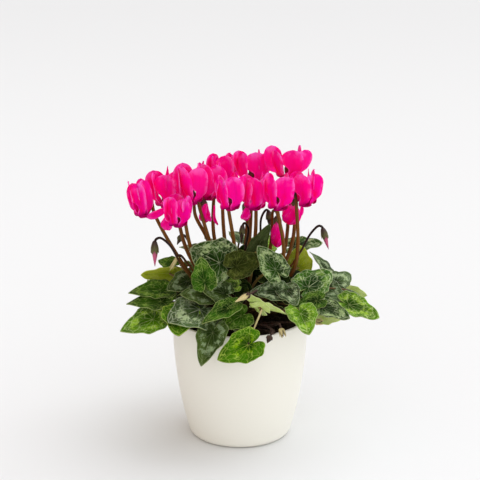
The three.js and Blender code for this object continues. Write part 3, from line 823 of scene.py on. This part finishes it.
# Each bloom: its mouth, where its stalk leaves the foliage, the way and the amount that its
# petals lean, the side on which the stalk passes, and what differs from a plain one.
BLOOMS = [
    ((-93, -12, 231), (-50, -14, 172), 168, 12, 10, dict(length=35, width=13, flare=9)),
    ((-72, 10, 234), (-53, 6, 190), 150, 3, 20, dict(length=36, width=19, flare=14, spike=True)),
    ((-59, -31, 227), (-44, -13, 185), 180, 2, 50, dict(length=29, width=16, flare=11)),
    ((-46, -10, 243), (-31, -3, 205), 150, 6, 60, dict(length=38)),
    ((-31, 20, 239), (-26, 16, 202), 60, 6, 60, dict(length=36, spike=True)),
    ((-18, 50, 242), (-16, 32, 198), 90, 5, 90, {}),
    ((12, 46, 247), (6, 30, 192), 90, 5, 100, dict(width=19, flare=16, spike=True)),
    ((-9, -22, 241), (-5, -10, 194), 180, 4, 105, {}),
    ((14, -4, 236), (15, 2, 205), 0, 0, 80, {}),
    ((37, -26, 242), (42, -12, 184), 60, 4, 95, {}),
    ((65, 2, 238), (53, 0, 170), 190, 6, 185, dict(spike=True)),
    ((48, 32, 257), (44, 22, 182), 90, 4, 90, dict(length=30, width=20, flare=19)),
    ((51, 15, 228), (50, 18, 185), 0, 3, 70, dict(furled=True, length=24, width=20)),
    ((37, 10, 211), (30, 20, 186), 0, 0, 120, dict(furled=True, length=29, width=14)),
    ((-35, 9, 228), (-31, 6, 198), 180, 6, 205, dict(furled=True, length=20, width=11)),
    ((6, 22, 221), (9, 18, 190), 0, 0, 60, dict(furled=True, length=15, width=9)),
]

# Petals of young blooms that hang down between the others: from, to and width
HANGING = [
    ((-67, -14, 240), (-91, -15, 229), 8),
    ((-64, -18, 236), (-73, -17, 217), 12),
    ((-34, 0, 238), (-38, 0, 221), 7),
    ((-33, 2, 238), (-29, 1, 220), 8),
    ((-25, 10, 234), (-22, 9, 214), 4),
    ((8, 0, 236), (2, -1, 223), 9),
    ((61, 8, 238), (56, 6, 222), 6),
]

PLAIN_BLOOM = dict(length=33.0, width=17.0, flare=13.0, furled=False, spike=False)
TUBE_LENGTH = 8.0
CALYX_BASE = 8.35
CALYX_TOP = 11.35
HOOK_RADIUS = 5.0
LOBES = 5
WRAPS = 5

# The middle petal lies opposite the stalk and the others close to it, which leaves the stalk a gap
PETAL_MIDDLE, PETAL_SPACING = 190, 61

# A petal's width along its length as a share, how its two edges are cut in near the mouth, where
# neighbours leave a keyhole between them, and how one petal of some blooms narrows to a spike
PETAL_BODY = ([0, 0.06, 0.12, 0.2, 0.3, 0.45, 0.6, 1], [0.42, 0.5, 0.58, 0.7, 0.83, 0.95, 1, 1])
UNDER_EDGE = ([0, 0.1, 0.2, 0.3, 0.4, 0.54, 1], [1, 0.95, 0.65, 0.28, 0.3, 1, 1])
OVER_EDGE = ([0, 0.1, 0.2, 0.34, 1], [1, 0.95, 0.72, 1, 1])
SPIKE = ([0, 0.5, 0.72, 0.85, 1], [1, 0.8, 0.24, 0.12, 0.05])

# The same for furled petals, for single ones that hang down, and for closed buds
FURLED_BODY = ([0, 0.05, 0.2, 0.4, 0.58, 0.78, 0.92, 1], [0, 0.32, 0.6, 0.88, 1, 0.86, 0.5, 0])
HANGING_BODY = ([0, 0.12, 0.4, 0.7, 0.88, 1], [0.3, 0.5, 0.85, 1, 0.8, 0.1])
BUD_BODY = ([0, 0.12, 0.35, 0.6, 0.85, 1], [0.3, 0.85, 1, 0.66, 0.28, 0])


def bloom_from(mouth, knee, lean_to, lean, stalk_side, more):
    bloom = dict(PLAIN_BLOOM, mouth=Vector(mouth) * MM, knee=Vector(knee) * MM, stalk_side=stalk_side)
    bloom.update(more)
    turn = Matrix.Rotation(math.radians(lean), 4, UP.cross(way(lean_to)).normalized())
    bloom["place"] = Matrix.Translation(bloom["mouth"]) @ turn @ Matrix.Scale(MM, 4)
    return bloom


def make_petal(bloom, heading, settings, dice):
    """One petal, in its bloom's frame in millimetres: out of the mouth, back and up.

    It is twisted where it turns back: its left edge starts on the outside and ends up inside.
    """
    sheet, across, along = grid(18, 34)
    side = 2 * across - 1
    t = along**0.6
    tall = bloom["length"] * dice["length"]
    flare = bloom["flare"]
    spine = [(3, 1.4), (10.5, -3.4), (flare + 0.5, tall * 0.42), (flare - 2.5 + dice["lean"], tall)]
    radius, height = (sum(pull * p[k] for pull, p in zip(pulls(t), spine)) for k in (0, 1))
    slopes = [-3 * (1 - t) ** 2, 3 * (1 - t) * (1 - 3 * t), 3 * t * (2 - 3 * t), 3 * t**2]
    along_r, along_z = (sum(slope * p[k] for slope, p in zip(slopes, spine)) for k in (0, 1))
    size = np.hypot(along_r, along_z)
    out_r, out_z = along_z / size, -along_r / size
    body = np.interp(along, *PETAL_BODY)
    body *= np.sqrt(np.clip(1 - np.clip((along - 0.66) / 0.34, 0, 1) ** 2.2, 0, 1))
    body *= np.where(side < 0, np.interp(along, *UNDER_EDGE), np.interp(along, *OVER_EDGE))
    if dice["spike"]:
        body *= np.interp(along, *SPIKE)
    width = bloom["width"] * dice["width"] / 2 * body
    rise = np.clip((along - 0.04) / 0.36, 0, 1)
    twist = np.radians(-22 + (22 + dice["turn"]) * rise**2 * (3 - 2 * rise) + dice["twist"] * along**2)
    reach = side * width * np.cos(twist)
    wave = np.sin(side * 2.2 + along * 8 + dice["phase"]) * settings.frill / MM * side**2 * along
    bow = side * width * np.sin(twist) - dice["cup"] * reach**2 / radius + wave
    bow -= 0.4 * np.exp(-((side / 0.22) ** 2)) * np.clip(along * 3, 0, 1)
    places = np.stack([radius + bow * out_r, reach + dice["swing"] * along**2, height + bow * out_z], 1)
    turn = np.array(Matrix.Rotation(math.radians(heading), 3, "Z"))
    set_corners(sheet.data, places @ turn.T)
    lay_map(sheet.data, across, along)
    keep_value(sheet.data, "tone", np.full(len(t), dice["tone"]))
    merge_doubles(sheet)
    apply(sheet, "SOLIDIFY", thickness=settings.thickness / MM, offset=0)
    return sheet


def petals_of(bloom, settings, chance):
    """Five petals round the mouth, each with its own lean, twist and roll. One may end in a spike."""
    middle = bloom["stalk_side"] + PETAL_MIDDLE
    headings = [middle + (k - 2) * PETAL_SPACING for k in range(5)]
    rear = max(headings, key=lambda heading: math.sin(math.radians(heading)))
    petals = []
    for k, heading in enumerate(headings):
        dice = {
            "length": (0.95 if k % 2 else 1.0) * chance.uniform(0.96, 1.02),
            "width": chance.uniform(1.16, 1.3),
            "lean": chance.uniform(-1.5, 2.0),
            "turn": chance.uniform(14, 24),
            "twist": chance.uniform(-12, 20),
            "cup": chance.uniform(0.05, 0.4),
            "swing": chance.uniform(-2.5, 2.5),
            "phase": chance.uniform(0, 6),
            "tone": chance.uniform(0, 1),
            "spike": bloom["spike"] and heading == rear,
        }
        petals.append(make_petal(bloom, heading + chance.uniform(-6, 6), settings, dice))
    return petals


def make_tube():
    """The short tube between mouth and calyx, open below, with its inner wall."""
    wall = [(3.2, 7.6), (3.5, 4), (4.1, 1), (5, -2), (4.6, -2.3), (4.1, -1.6), (2.6, 5), (0, 6.5)]
    tube = turned([(0, TUBE_LENGTH), (3.3, TUBE_LENGTH), *wall], 20)
    places = corners_of(tube.data)
    lay_map(tube.data, np.full(len(places), 0.5), np.clip(places[:, 2] / 90, 0, 1))
    keep_value(tube.data, "tone", np.zeros(len(places)))
    return tube


def wrapped(angle, t, twist, crest):
    """Petals wrapped round each other: how far a point is across its petal, and how far it stands out."""
    fold = WRAPS * (angle + twist * t) / (2 * np.pi) % 1
    return fold, np.clip(np.minimum(fold / crest, (1 - fold) / (1 - crest)), 0, 1)


def make_furled(bloom):
    """Petals that still hang below the calyx, wrapped round each other."""
    sheet, around, t = grid(60, 26)
    angle = around * 2 * np.pi
    fold, ridge = wrapped(angle, t, 1.7, 0.85)
    overlap = 0.17 * ridge * np.clip(t * 4, 0, 1)
    radius = bloom["width"] / 2 * np.interp(t, *FURLED_BODY) * (0.88 + overlap)
    set_corners(sheet.data, round_axis(radius, angle, TUBE_LENGTH - bloom["length"] * t))
    lay_map(sheet.data, np.clip(0.5 + (fold - 0.5) * 0.9, 0, 1), 0.95 - 0.62 * t)
    keep_value(sheet.data, "tone", np.full(len(t), 0.3))
    merge_doubles(sheet, outward=True)
    return sheet


def hanging_petal(start, end, width, settings):
    """A single petal that hangs from start to end, creased along its middle, its end rolled up."""
    sheet, across, along = grid(12, 22)
    side = 2 * across - 1
    length = (end - start).length / MM
    reach = side * width / 2 * np.interp(along, *HANGING_BODY)
    bow = 0.35 * np.abs(reach) + 0.12 * length * np.sin(np.pi * along) + 0.5 * np.sin(7 * along + 3 * side)
    set_corners(sheet.data, np.stack([reach, -bow, length * along], 1))
    lay_map(sheet.data, across, 0.2 + 0.7 * along)
    keep_value(sheet.data, "tone", np.full(len(along), 0.75))
    apply(sheet, "SOLIDIFY", thickness=settings.thickness / MM, offset=0)
    sheet.data.transform(pointing(start, end))
    return sheet


def petal_finish(settings):
    """Petal skin: a dark ring at the mouth, a red depth in the middle that is partly painted glow, paler
    edges that are painted highlights, fine veins, and a faint emission that paints a glow.
    """
    skin = Finish(
        "petal",
        Roughness=0.6,
        Specular_IOR_Level=0.03,
        Subsurface_Weight=0.45,
        Subsurface_Radius=(0.006, 0.0003, 0.002),
        Subsurface_Scale=1.0,
        # A faint red emission: a painted glow for the light that shines through the petals.
        Emission_Color=(1.0, 0.0, 0.12, 1),
        Emission_Strength=0.05,
    )
    u, v = skin.flat()
    side = abs(u * 2 - 1)
    streaks = skin.streaks(22, 2.0)
    clouds = skin.cloud(skin.place(), 110, 3)
    tone = skin.kept("tone")
    ground = skin.mix(skin.ramp(tone, 0.5, 1.0, 0.0, 0.8), settings.petal, "#ff1090")
    # A deeper red in the middle of each petal: partly the petal's own colour, partly painted glow of light
    # through the overlapping petals.
    middle = skin.ramp(side, 0.0, 0.7, 1.0, 0.0) * skin.ramp(v, 0.35, 0.8, 1.0, 0.1)
    depth = skin.ramp(clouds, 0.32, 0.6, 0.0, 0.8) * skin.ramp(tone, 0.2, 1.0, 1.0, 0.2)
    colour = skin.mix(middle * depth, ground, "#ff003c")
    # Paler edges and tops: a painted highlight, broken into patches by the clouds.
    edge = skin.math("MAXIMUM", skin.ramp(side, 0.55, 1.0), skin.ramp(v, 0.7, 1.0))
    colour = skin.mix(edge * skin.ramp(clouds, 0.42, 0.6, 0.03, 0.85), colour, settings.edge)
    colour = skin.mix(skin.ramp(streaks, 0.5, 0.75, 0.0, 0.25), colour, "#e00070")
    skin.colour(skin.mix(skin.ramp(streaks * 0.12 + v, 0.15, 0.32, 1.0, 0.0), colour, settings.mouth))
    skin.relief(streaks, 0.0003, 0.5)
    return skin.material


def stalk_line(bloom):
    """A flower stalk: past its knee, up beside the bloom, over the hook and into the calyx."""
    beside = way(bloom["stalk_side"])
    hook = max(HOOK_RADIUS, bloom["width"] / 4 + 1.4) if bloom["furled"] else HOOK_RADIUS

    def local(out, height):
        return bloom["place"] @ (beside * out + UP * height)

    knee = bloom["knee"]
    climb = through([flower_root(knee), knee, local(2 * hook, -2), local(2 * hook, CALYX_TOP - 1)], 30)
    turns = [math.radians(a) for a in range(20, 180, 16)]
    arc = [local(hook + hook * math.cos(a), CALYX_TOP + hook * math.sin(a)) for a in turns]
    return [*climb, *arc, local(0, CALYX_TOP - 1)]


def sepals(base, top, radius, neck, reach):
    """A calyx: a small cup that runs out into pointed lobes. Its map has dark at the neck."""
    sheet, around, t = grid(40, 9)
    angle = around * 2 * np.pi
    lobe = np.abs(np.cos(LOBES * angle / 2)) ** 1.3
    height = top + (base - reach * lobe - top) * t
    swell = neck + (radius - neck) * np.clip(t * 1.5, 0, 1) ** 0.6 + 0.25 * lobe * t
    set_corners(sheet.data, round_axis(swell, angle, height))
    lay_map(sheet.data, around, t)
    merge_doubles(sheet)
    apply(sheet, "SOLIDIFY", thickness=0.45, offset=0)
    return sheet


def calyx_finish():
    skin = Finish("calyx", Roughness=0.5)
    _, v = skin.flat()
    streaks = skin.streaks(60, 3)
    colour = skin.mix(skin.ramp(v, 0.1, 0.85), "#33190f", "#5a5a24")
    skin.colour(skin.mix(skin.ramp(streaks, 0.4, 0.7, 0.0, 0.6), colour, "#2a1310"))
    skin.relief(streaks, 0.0002, 0.6)
    return skin.material


class CYCLAMEN_OT_blooms(bpy.types.Operator):
    """Each bloom: its petals, tube and calyx"""

    bl_idname = "cyclamen.blooms"
    bl_label = "Blooms"

    def execute(self, context):
        settings = context.scene.cyclamen_bloom
        petal = petal_finish(settings)
        calyx = calyx_finish()
        chance = random.Random(7)
        for number, row in enumerate(BLOOMS, 1):
            bloom = bloom_from(*row)
            if bloom["furled"]:
                pieces = [make_furled(bloom)]
            else:
                pieces = [make_tube(), *petals_of(bloom, settings, chance)]
            body = joined(pieces)
            body.data.transform(bloom["place"])
            dressed(body, f"bloom_{number}_petals", petal, [f"bloom_{number}"])
            cup = sepals(CALYX_BASE - 0.5, CALYX_TOP + 0.8, 3.75, 1.5, 3.2)
            cup.data.transform(bloom["place"])
            dressed(cup, f"bloom_{number}_calyx", calyx)
        petals = [hanging_petal(Vector(a) * MM, Vector(b) * MM, width, settings) for a, b, width in HANGING]
        dressed(joined(petals), "hanging_petals", petal)
        return {"FINISHED"}


class CYCLAMEN_OT_flower_stalks(bpy.types.Operator):
    """The stalks of the blooms and of the closed buds"""

    bl_idname = "cyclamen.flower_stalks"
    bl_label = "Flower stalks"

    def execute(self, context):
        settings = context.scene.cyclamen_stalk
        tip = settings.bloom_tip
        lines = [tapered(stalk_line(bloom_from(*row)), settings.bloom_root, tip) for row in BLOOMS]
        skin = stalk_finish("flower_stalk", settings, 0.236, 0.252)
        dressed(tubes(lines), "flower_stalks", skin)
        lines = [tapered(bud_line(bud)[0], 0.75 * tip, tip) for bud in BUDS]
        skin = stalk_finish("bud_stalk", settings, 0.165, 0.2)
        dressed(tubes(lines), "bud_stalks", skin)
        return {"FINISHED"}


def stalk_finish(name, settings, dark_from, dark_to):
    """Stalk skin: dark at the root, brown-olive up the stalk, dark again towards the hook."""
    skin = Finish(name, Roughness=0.45, Specular_IOR_Level=0.2)
    streaks = skin.cloud(skin.stretched(skin.place(), (1, 1, 0.08)), 700, 3)
    height = skin.cloud(skin.place(), 55, 2) * 0.02 + (skin.along(2) - 0.01)
    colour = skin.mix(skin.ramp(height, 0.15, 0.185), settings.dark, settings.brown)
    colour = skin.mix(skin.ramp(streaks, 0.4, 0.7, 0.0, 0.6), colour, "#3f3a0c")
    skin.colour(skin.mix(skin.ramp(height, dark_from, dark_to), colour, settings.dark))
    skin.relief(streaks, 0.0003, 0.5)
    return skin.material


# Buds

# Closed buds: the top of the hook, the tip of the bud, a point on the way up, size and look
BUDS = [
    ((-81, -20, 210), (-83, -20, 180), (-56, -24, 182), 1.0, "pink"),
    ((79, 10, 213), (88, 10, 188), (58, 6, 184), 0.9, "pink"),
    ((27, 36, 222), (30, 34, 202), (20, 26, 186), 0.8, "brown"),
    ((4, 2, 218), (1, -2, 197), (5, 2, 190), 0.75, "brown"),
    ((-58, -20, 192), (-69, -22, 176), (-46, -18, 176), 0.8, "straw"),
    ((-56, 17, 201), (-63, 19, 190), (-40, 8, 180), 0.8, "brown"),
]

# Withered buds on limp stalks over the soil and the rim: the way of the stalk, length and look
WITHERED = [
    ([(22, -44, 128), (31, -67, 131), (28.5, -71, 126.5)], 8, "brown"),
    ([(30, -44, 128), (38, -62, 136), (39.5, -66, 132)], 9, "straw"),
    ([(50, -34, 128), (74, -44, 132)], 8, "straw"),
    ([(5, -34, 150), (16, -52, 167), (8, -59, 165)], 19, "tan"),
    ([(18, -38, 122), (30, -56, 126)], 9, "brown"),
]

# The pale stalk of the curled leaf, over the soil in front
PALE_STALK = [(6, -36, 119), (11, -61, 127), (16, -63, 139), (21, -60, 150.5)]

BUD_RADIUS = 3.4


def bud_line(bud):
    """The bud's stalk with its round arch, and where the bud itself starts and ends."""
    top, tip, knee = (Vector(p) * MM for p in bud[:3])
    sideways = Vector((knee.x - tip.x, knee.y - tip.y, 0)).normalized()
    arch = 5.5 * MM * bud[3] ** 2
    neck = top.lerp(tip, 0.2) - sideways * 1.5 * MM
    tall = top.z - neck.z
    rise = neck + sideways * 2.7 * arch + UP * (tall - 7 * MM)
    crown = neck + sideways * arch + UP * tall
    before = neck + sideways * 0.25 * arch + UP * tall * 0.7
    line = through([flower_root(knee), knee, rise, crown, before, neck], 48)
    return line, neck + (neck - tip).normalized() * 2 * MM, tip


def make_bud(length, radius):
    """A closed bud along +Z: petals wrapped into a spindle that ends in a fine point."""
    sheet, around, t = grid(40, 20)
    angle = around * 2 * np.pi
    _, ridge = wrapped(angle, t, 1.4, 0.8)
    spread = radius * np.interp(t, *BUD_BODY) * (0.88 + 0.14 * ridge)
    set_corners(sheet.data, round_axis(spread, angle, length * t))
    lay_map(sheet.data, around, t)
    merge_doubles(sheet, outward=True)
    return sheet


def bud_finish():
    """A closed bud: brownish under its sepals, pink below them, dark again at the tip."""
    skin = Finish("bud", Roughness=0.5)
    _, v = skin.flat()
    streaks = skin.streaks(30, 2)
    colour = skin.mix(skin.ramp(v, 0.25, 0.55), "#6d5a3c", "#c9567f")
    colour = skin.mix(skin.ramp(v, 0.8, 0.97), colour, "#7c1d3e")
    skin.colour(skin.mix(skin.ramp(streaks, 0.4, 0.7, 0.0, 0.4), colour, "#94204f"))
    skin.relief(streaks, 0.0002, 0.5)
    return skin.material


def brown_finish():
    skin = Finish("withered", Roughness=0.75)
    grain = skin.cloud(skin.place(), 500, 3)
    skin.colour(skin.mix(skin.ramp(grain, 0.35, 0.65), "#23120c", "#4d3424"))
    skin.relief(grain, 0.0004, 0.7)
    return skin.material


def straw_finish(settings):
    skin = Finish("straw", Roughness=0.7)
    grain = skin.cloud(skin.place(), 600, 3)
    skin.colour(skin.mix(grain, settings.straw, "#dccf9c"))
    skin.relief(grain, 0.0003, 0.6)
    return skin.material


class CYCLAMEN_OT_buds(bpy.types.Operator):
    """The closed buds with their sepals, and the withered ones over the rim"""

    bl_idname = "cyclamen.buds"
    bl_label = "Buds"

    def execute(self, context):
        settings = context.scene.cyclamen_stalk
        calyx = bpy.data.materials.get("calyx") or calyx_finish()
        looks = {"pink": bud_finish(), "brown": brown_finish(), "straw": straw_finish(settings)}
        for k, bud in enumerate(BUDS, 1):
            _, start, tip = bud_line(bud)
            look = bud[4]
            dry = look == "straw"
            length = (tip - start).length / MM
            radius = BUD_RADIUS * bud[3] * (0.55 if dry else 1)
            body = make_bud(length, radius)
            body.data.transform(pointing(start, tip))
            dressed(body, f"bud_{k}", looks[look])
            cup = sepals(length * 0.3, -0.6, radius * 1.06, 1.2, -length * (0.5 if dry else 0.16))
            cup.data.transform(pointing(start, tip))
            dressed(cup, f"bud_{k}_calyx", looks["straw"] if dry else calyx)
        self.add_withered(settings, looks["brown"], looks["straw"])
        return {"FINISHED"}

    def add_withered(self, settings, brown, straw):
        lines = []
        for k, (points, length, look) in enumerate(WITHERED, 1):
            points = [Vector(point) * MM for point in points]
            line = through([corm_point(points[0], 16 * MM), *points], 24)
            lines.append(tapered(line, settings.leaf_root, settings.leaf_tip))
            dry = look == "straw"
            ahead = (points[-1] - points[-2]).normalized()
            start, tip = points[-1] - ahead * MM, points[-1] + ahead * length * MM
            body = make_bud(length, 1.6 if dry else 2.9)
            body.data.transform(pointing(start, tip))
            dressed(body, f"withered_bud_{k}", straw if look == "tan" else brown)
            cup = sepals(1.5, -0.4, 2.9, 0.9, -length * (0.75 if dry else 0.2))
            cup.data.transform(pointing(start, tip))
            dressed(cup, f"withered_sepals_{k}", straw if dry else brown)
        dressed(tubes(lines), "withered_stalks", brown)
        line = through([Vector(point) * MM for point in PALE_STALK], 20)
        pale = tapered(line, settings.leaf_tip, settings.leaf_tip)
        dressed(tubes([pale]), "pale_stalk", straw)


# Pot, soil and corm

POT_INSIDE = 63.4 * MM
POT_FLOOR = 4


class CYCLAMEN_OT_pot(bpy.types.Operator):
    """The plain tapered pot with its softly rounded foot and rim"""

    bl_idname = "cyclamen.pot"
    bl_label = "Pot"

    def execute(self, context):
        settings = context.scene.cyclamen_pot
        top, rim, wall = settings.height / MM, settings.rim_radius / MM, settings.wall / MM
        heights = [4.5, 24, 52, 84, top - 1.6]
        radii = [51.6, 56.6, 62, 65.8, rim]
        side = through([Vector((r, 0, z)) for r, z in zip(radii, heights)], 24)
        foot = [(0, 0), (44.5, 0), (47, 0.25), (49.2, 1.3), (50.7, 2.8)]
        outer = [(p.x, p.z) for p in side]
        lip = [(rim - 0.15, top - 0.9), (rim - 0.55, top - 0.25), (rim - 1.1, top), (rim - 1.9, top)]
        lip += [(rim - 2.6, top - 0.35), (rim - wall, top - 1.2)]
        inner = [(p.x - wall, p.z) for p in reversed(side[:-1])]
        profile = [*foot, *outer, *lip, *inner, (46, POT_FLOOR), (0, POT_FLOOR)]
        pot = turned([(r * MM, z * MM) for r, z in profile], 144)
        skin = Finish("pot", Roughness=0.38, Specular_IOR_Level=0.45)
        clouds = skin.cloud(skin.place(), 9, 2)
        grain = skin.cloud(skin.place(), 900, 2)
        skin.colour(skin.mix(clouds, settings.colour, darker(settings.colour, 0.965)))
        skin.roughness(grain * 0.1 + 0.33)
        skin.relief(grain, 0.00005, 0.3)
        dressed(pot, "pot_body", skin.material, ["pot"], crease=40)
        return {"FINISHED"}


class CYCLAMEN_OT_soil(bpy.types.Operator):
    """Lumpy damp soil with loose crumbs on it"""

    bl_idname = "cyclamen.soil"
    bl_label = "Soil"

    def execute(self, context):
        settings = context.scene.cyclamen_soil
        level, lumps = settings.level, settings.lumps
        sweep = [(radius, level) for radius in np.linspace(0, POT_INSIDE, 34)]
        side = [(63.2 * MM, level - 4 * MM), (61 * MM, 84 * MM), (48 * MM, 6 * MM), (0, 6 * MM)]
        soil = turned([*sweep, *side], 120)
        places = corners_of(soil.data)
        for k, (x, y, z) in enumerate(places):
            if z > level - MM:
                edge = min(max((POT_INSIDE + 0.2 * MM - math.hypot(x, y)) / (5 * MM), 0.15), 1)
                spot = Vector((x, y, 0))
                rough = noise.noise(spot * 160) + 0.7 * noise.noise(spot * 420)
                places[k, 2] += lumps * edge * rough
        set_corners(soil.data, places)
        skin = Finish("soil", Roughness=0.9, Specular_IOR_Level=0.3)
        grain = skin.cloud(skin.place(), 420, 4, 0.7)
        broad = skin.cloud(skin.place(), 70, 2)
        colour = skin.mix(skin.ramp(grain, 0.3, 0.7), darker(settings.colour, 0.45), settings.colour)
        skin.colour(skin.mix(skin.ramp(broad, 0.5, 0.7, 0.0, 0.5), colour, "#43301f"))
        skin.relief(grain, 0.0012, 0.9)
        dressed(soil, "soil_bed", skin.material, ["soil"])
        dressed(self.crumbs(settings), "soil_crumbs", skin.material)
        return {"FINISHED"}

    def crumbs(self, settings):
        """One crumb is modelled and copied over the soil, each copy turned and sized by chance."""
        deselect()
        bpy.ops.mesh.primitive_ico_sphere_add(subdivisions=2, radius=1)
        crumb = bpy.context.object
        shape = corners_of(crumb.data)
        lumps = np.array([[noise.noise(Vector(p) * 1.7)] for p in shape])
        set_corners(crumb.data, shape * (1 + 0.22 * lumps))
        chance = random.Random(11)
        copies = []
        for _ in range(settings.crumbs):
            reach = 61 * MM * math.sqrt(chance.uniform(0.03, 1))
            heading = chance.uniform(0, 2 * math.pi)
            size = chance.uniform(0.5, 1.7) * MM
            flat = Matrix.Diagonal((1, chance.uniform(0.6, 1), chance.uniform(0.5, 0.9), 1))
            turn = Matrix.Rotation(chance.uniform(0, 6), 4, "Z")
            turn = turn @ Matrix.Rotation(chance.uniform(0, 6), 4, "X")
            spot = (reach * math.cos(heading), reach * math.sin(heading), settings.level + size * 0.4)
            copy = crumb.copy()
            copy.data = crumb.data.copy()
            copy.data.transform(Matrix.Translation(spot) @ turn @ flat @ Matrix.Scale(size, 4))
            bpy.context.collection.objects.link(copy)
            copies.append(copy)
        bpy.data.objects.remove(crumb)
        return joined(copies)


class CYCLAMEN_OT_corm(bpy.types.Operator):
    """The knobbly corm half sunk in the soil, which every stalk grows from"""

    bl_idname = "cyclamen.corm"
    bl_label = "Corm"

    def execute(self, context):
        deselect()
        bpy.ops.mesh.primitive_uv_sphere_add(segments=48, ring_count=24, radius=1)
        corm = bpy.context.object
        bpy.ops.object.mode_set(mode="EDIT")
        bpy.ops.mesh.select_all(action="SELECT")
        bpy.ops.transform.resize(value=(CORM_RADIUS, CORM_RADIUS, CORM_HALF))
        bpy.ops.transform.translate(value=(0, 0, CORM_HEIGHT))
        bpy.ops.object.mode_set(mode="OBJECT")
        places = corners_of(corm.data)
        middle = np.array([0, 0, CORM_HEIGHT])
        bumps = [[noise.noise(Vector(p) * 130) + 0.5 * noise.noise(Vector(p) * 320)] for p in places]
        set_corners(corm.data, middle + (places - middle) * (1 + 0.07 * np.array(bumps)))
        skin = Finish("corm", Roughness=0.8)
        grain = skin.cloud(skin.place(), 300, 4, 0.65)
        skin.colour(skin.mix(skin.ramp(grain, 0.3, 0.7), "#1d100b", "#4b3022"))
        skin.relief(grain, 0.0008, 0.9)
        dressed(corm, "corm", skin.material, ["crown"])
        return {"FINISHED"}


# Stage

CAMERA_PLACE = (0, -1.480, 0.668)
CAMERA_TILT = 17.5
SUN_PLACE = (0.45, 0.4, 1.2)
SUN_WIDTH = 60
BRIGHT_SIDE = (0.64, -0.33, 0.7)


class CYCLAMEN_OT_stage(bpy.types.Operator):
    """A pale floor painted darker towards the back as painted shade, soft studio light and the camera"""

    bl_idname = "cyclamen.stage"
    bl_label = "Stage"

    def execute(self, context):
        settings = context.scene.cyclamen_stage
        deselect()
        bpy.ops.mesh.primitive_plane_add(size=60)
        floor = bpy.context.object
        floor.name = "floor"
        paper = Finish("floor", Roughness=0.75, Specular_IOR_Level=0.2)
        # Painted shade: the floor grows darker towards the back.
        far = paper.ramp(paper.along(1), 0.2, 3.0)
        paper.colour(paper.mix(far, settings.floor, darker(settings.floor, 0.9)))
        floor.data.materials.append(paper.material)
        context.scene.world = self.studio(settings)
        self.sun(settings)
        deselect()
        tilt = math.radians(90 - CAMERA_TILT)
        bpy.ops.object.camera_add(location=CAMERA_PLACE, rotation=(tilt, 0, 0))
        camera = bpy.context.object
        camera.data.sensor_width = 36
        camera.data.lens = settings.lens
        camera.data.clip_start = 0.01
        context.scene.camera = camera
        context.scene.view_settings.view_transform = "Standard"
        return {"FINISHED"}

    def studio(self, settings):
        """Light from all round: bright on the right and above, dim and warm on the left."""
        world = bpy.data.worlds.new("studio")
        world.use_nodes = True
        nodes, links = world.node_tree.nodes, world.node_tree.links
        ways = nodes.new("ShaderNodeTexCoord")
        toward = nodes.new("ShaderNodeVectorMath")
        toward.operation = "DOT_PRODUCT"
        toward.inputs[1].default_value = BRIGHT_SIDE
        share = nodes.new("ShaderNodeMapRange")
        share.interpolation_type = "SMOOTHSTEP"
        share.inputs["From Min"].default_value = -0.75
        share.inputs["From Max"].default_value = 0.75
        blend = nodes.new("ShaderNodeMix")
        blend.data_type = "RGBA"
        blend.inputs[6].default_value = (*darker(settings.dim_colour, settings.dim), 1)
        blend.inputs[7].default_value = (*darker(settings.fill_colour, settings.fill), 1)
        links.new(ways.outputs["Generated"], toward.inputs[0])
        links.new(toward.outputs["Value"], share.inputs["Value"])
        links.new(share.outputs[0], blend.inputs[0])
        links.new(blend.outputs[2], nodes["Background"].inputs["Color"])
        return world

    def sun(self, settings):
        """A wide soft light that faces the middle of the plant."""
        aim = (Vector((0, 0, 0.15)) - Vector(SUN_PLACE)).to_track_quat("-Z", "Y").to_euler()
        deselect()
        bpy.ops.object.light_add(type="SUN", location=SUN_PLACE, rotation=aim)
        light = bpy.context.object
        light.name = "key"
        light.data.energy = settings.key
        light.data.color = settings.key_colour
        light.data.angle = math.radians(SUN_WIDTH)


# Panel and run

STEPS = (
    CYCLAMEN_OT_stage,
    CYCLAMEN_OT_pot,
    CYCLAMEN_OT_soil,
    CYCLAMEN_OT_corm,
    CYCLAMEN_OT_leaves,
    CYCLAMEN_OT_leaf_stalks,
    CYCLAMEN_OT_blooms,
    CYCLAMEN_OT_flower_stalks,
    CYCLAMEN_OT_buds,
)


class CYCLAMEN_PT_panel(bpy.types.Panel):
    """Lists the pieces and their settings"""

    bl_label = "Potted cyclamen"
    bl_idname = "CYCLAMEN_PT_panel"
    bl_space_type = "VIEW_3D"
    bl_region_type = "UI"
    bl_category = "Cyclamen"

    def draw(self, context):
        for name, group in GROUPS.items():
            box = self.layout.box()
            for setting in group.__annotations__:
                box.prop(getattr(context.scene, name), setting)
        for step in STEPS:
            self.layout.operator(step.bl_idname)


def register():
    for group in (*GROUPS.values(), *STEPS, CYCLAMEN_PT_panel):
        bpy.utils.register_class(group)
    for name, group in GROUPS.items():
        setattr(bpy.types.Scene, name, PointerProperty(type=group))


def unregister():
    for name in GROUPS:
        delattr(bpy.types.Scene, name)
    for group in reversed((*GROUPS.values(), *STEPS, CYCLAMEN_PT_panel)):
        bpy.utils.unregister_class(group)


def main():
    register()
    for step in STEPS:
        group, action = step.bl_idname.split(".")
        getattr(getattr(bpy.ops, group), action)()
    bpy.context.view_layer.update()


if __name__ == "__main__":
    main()
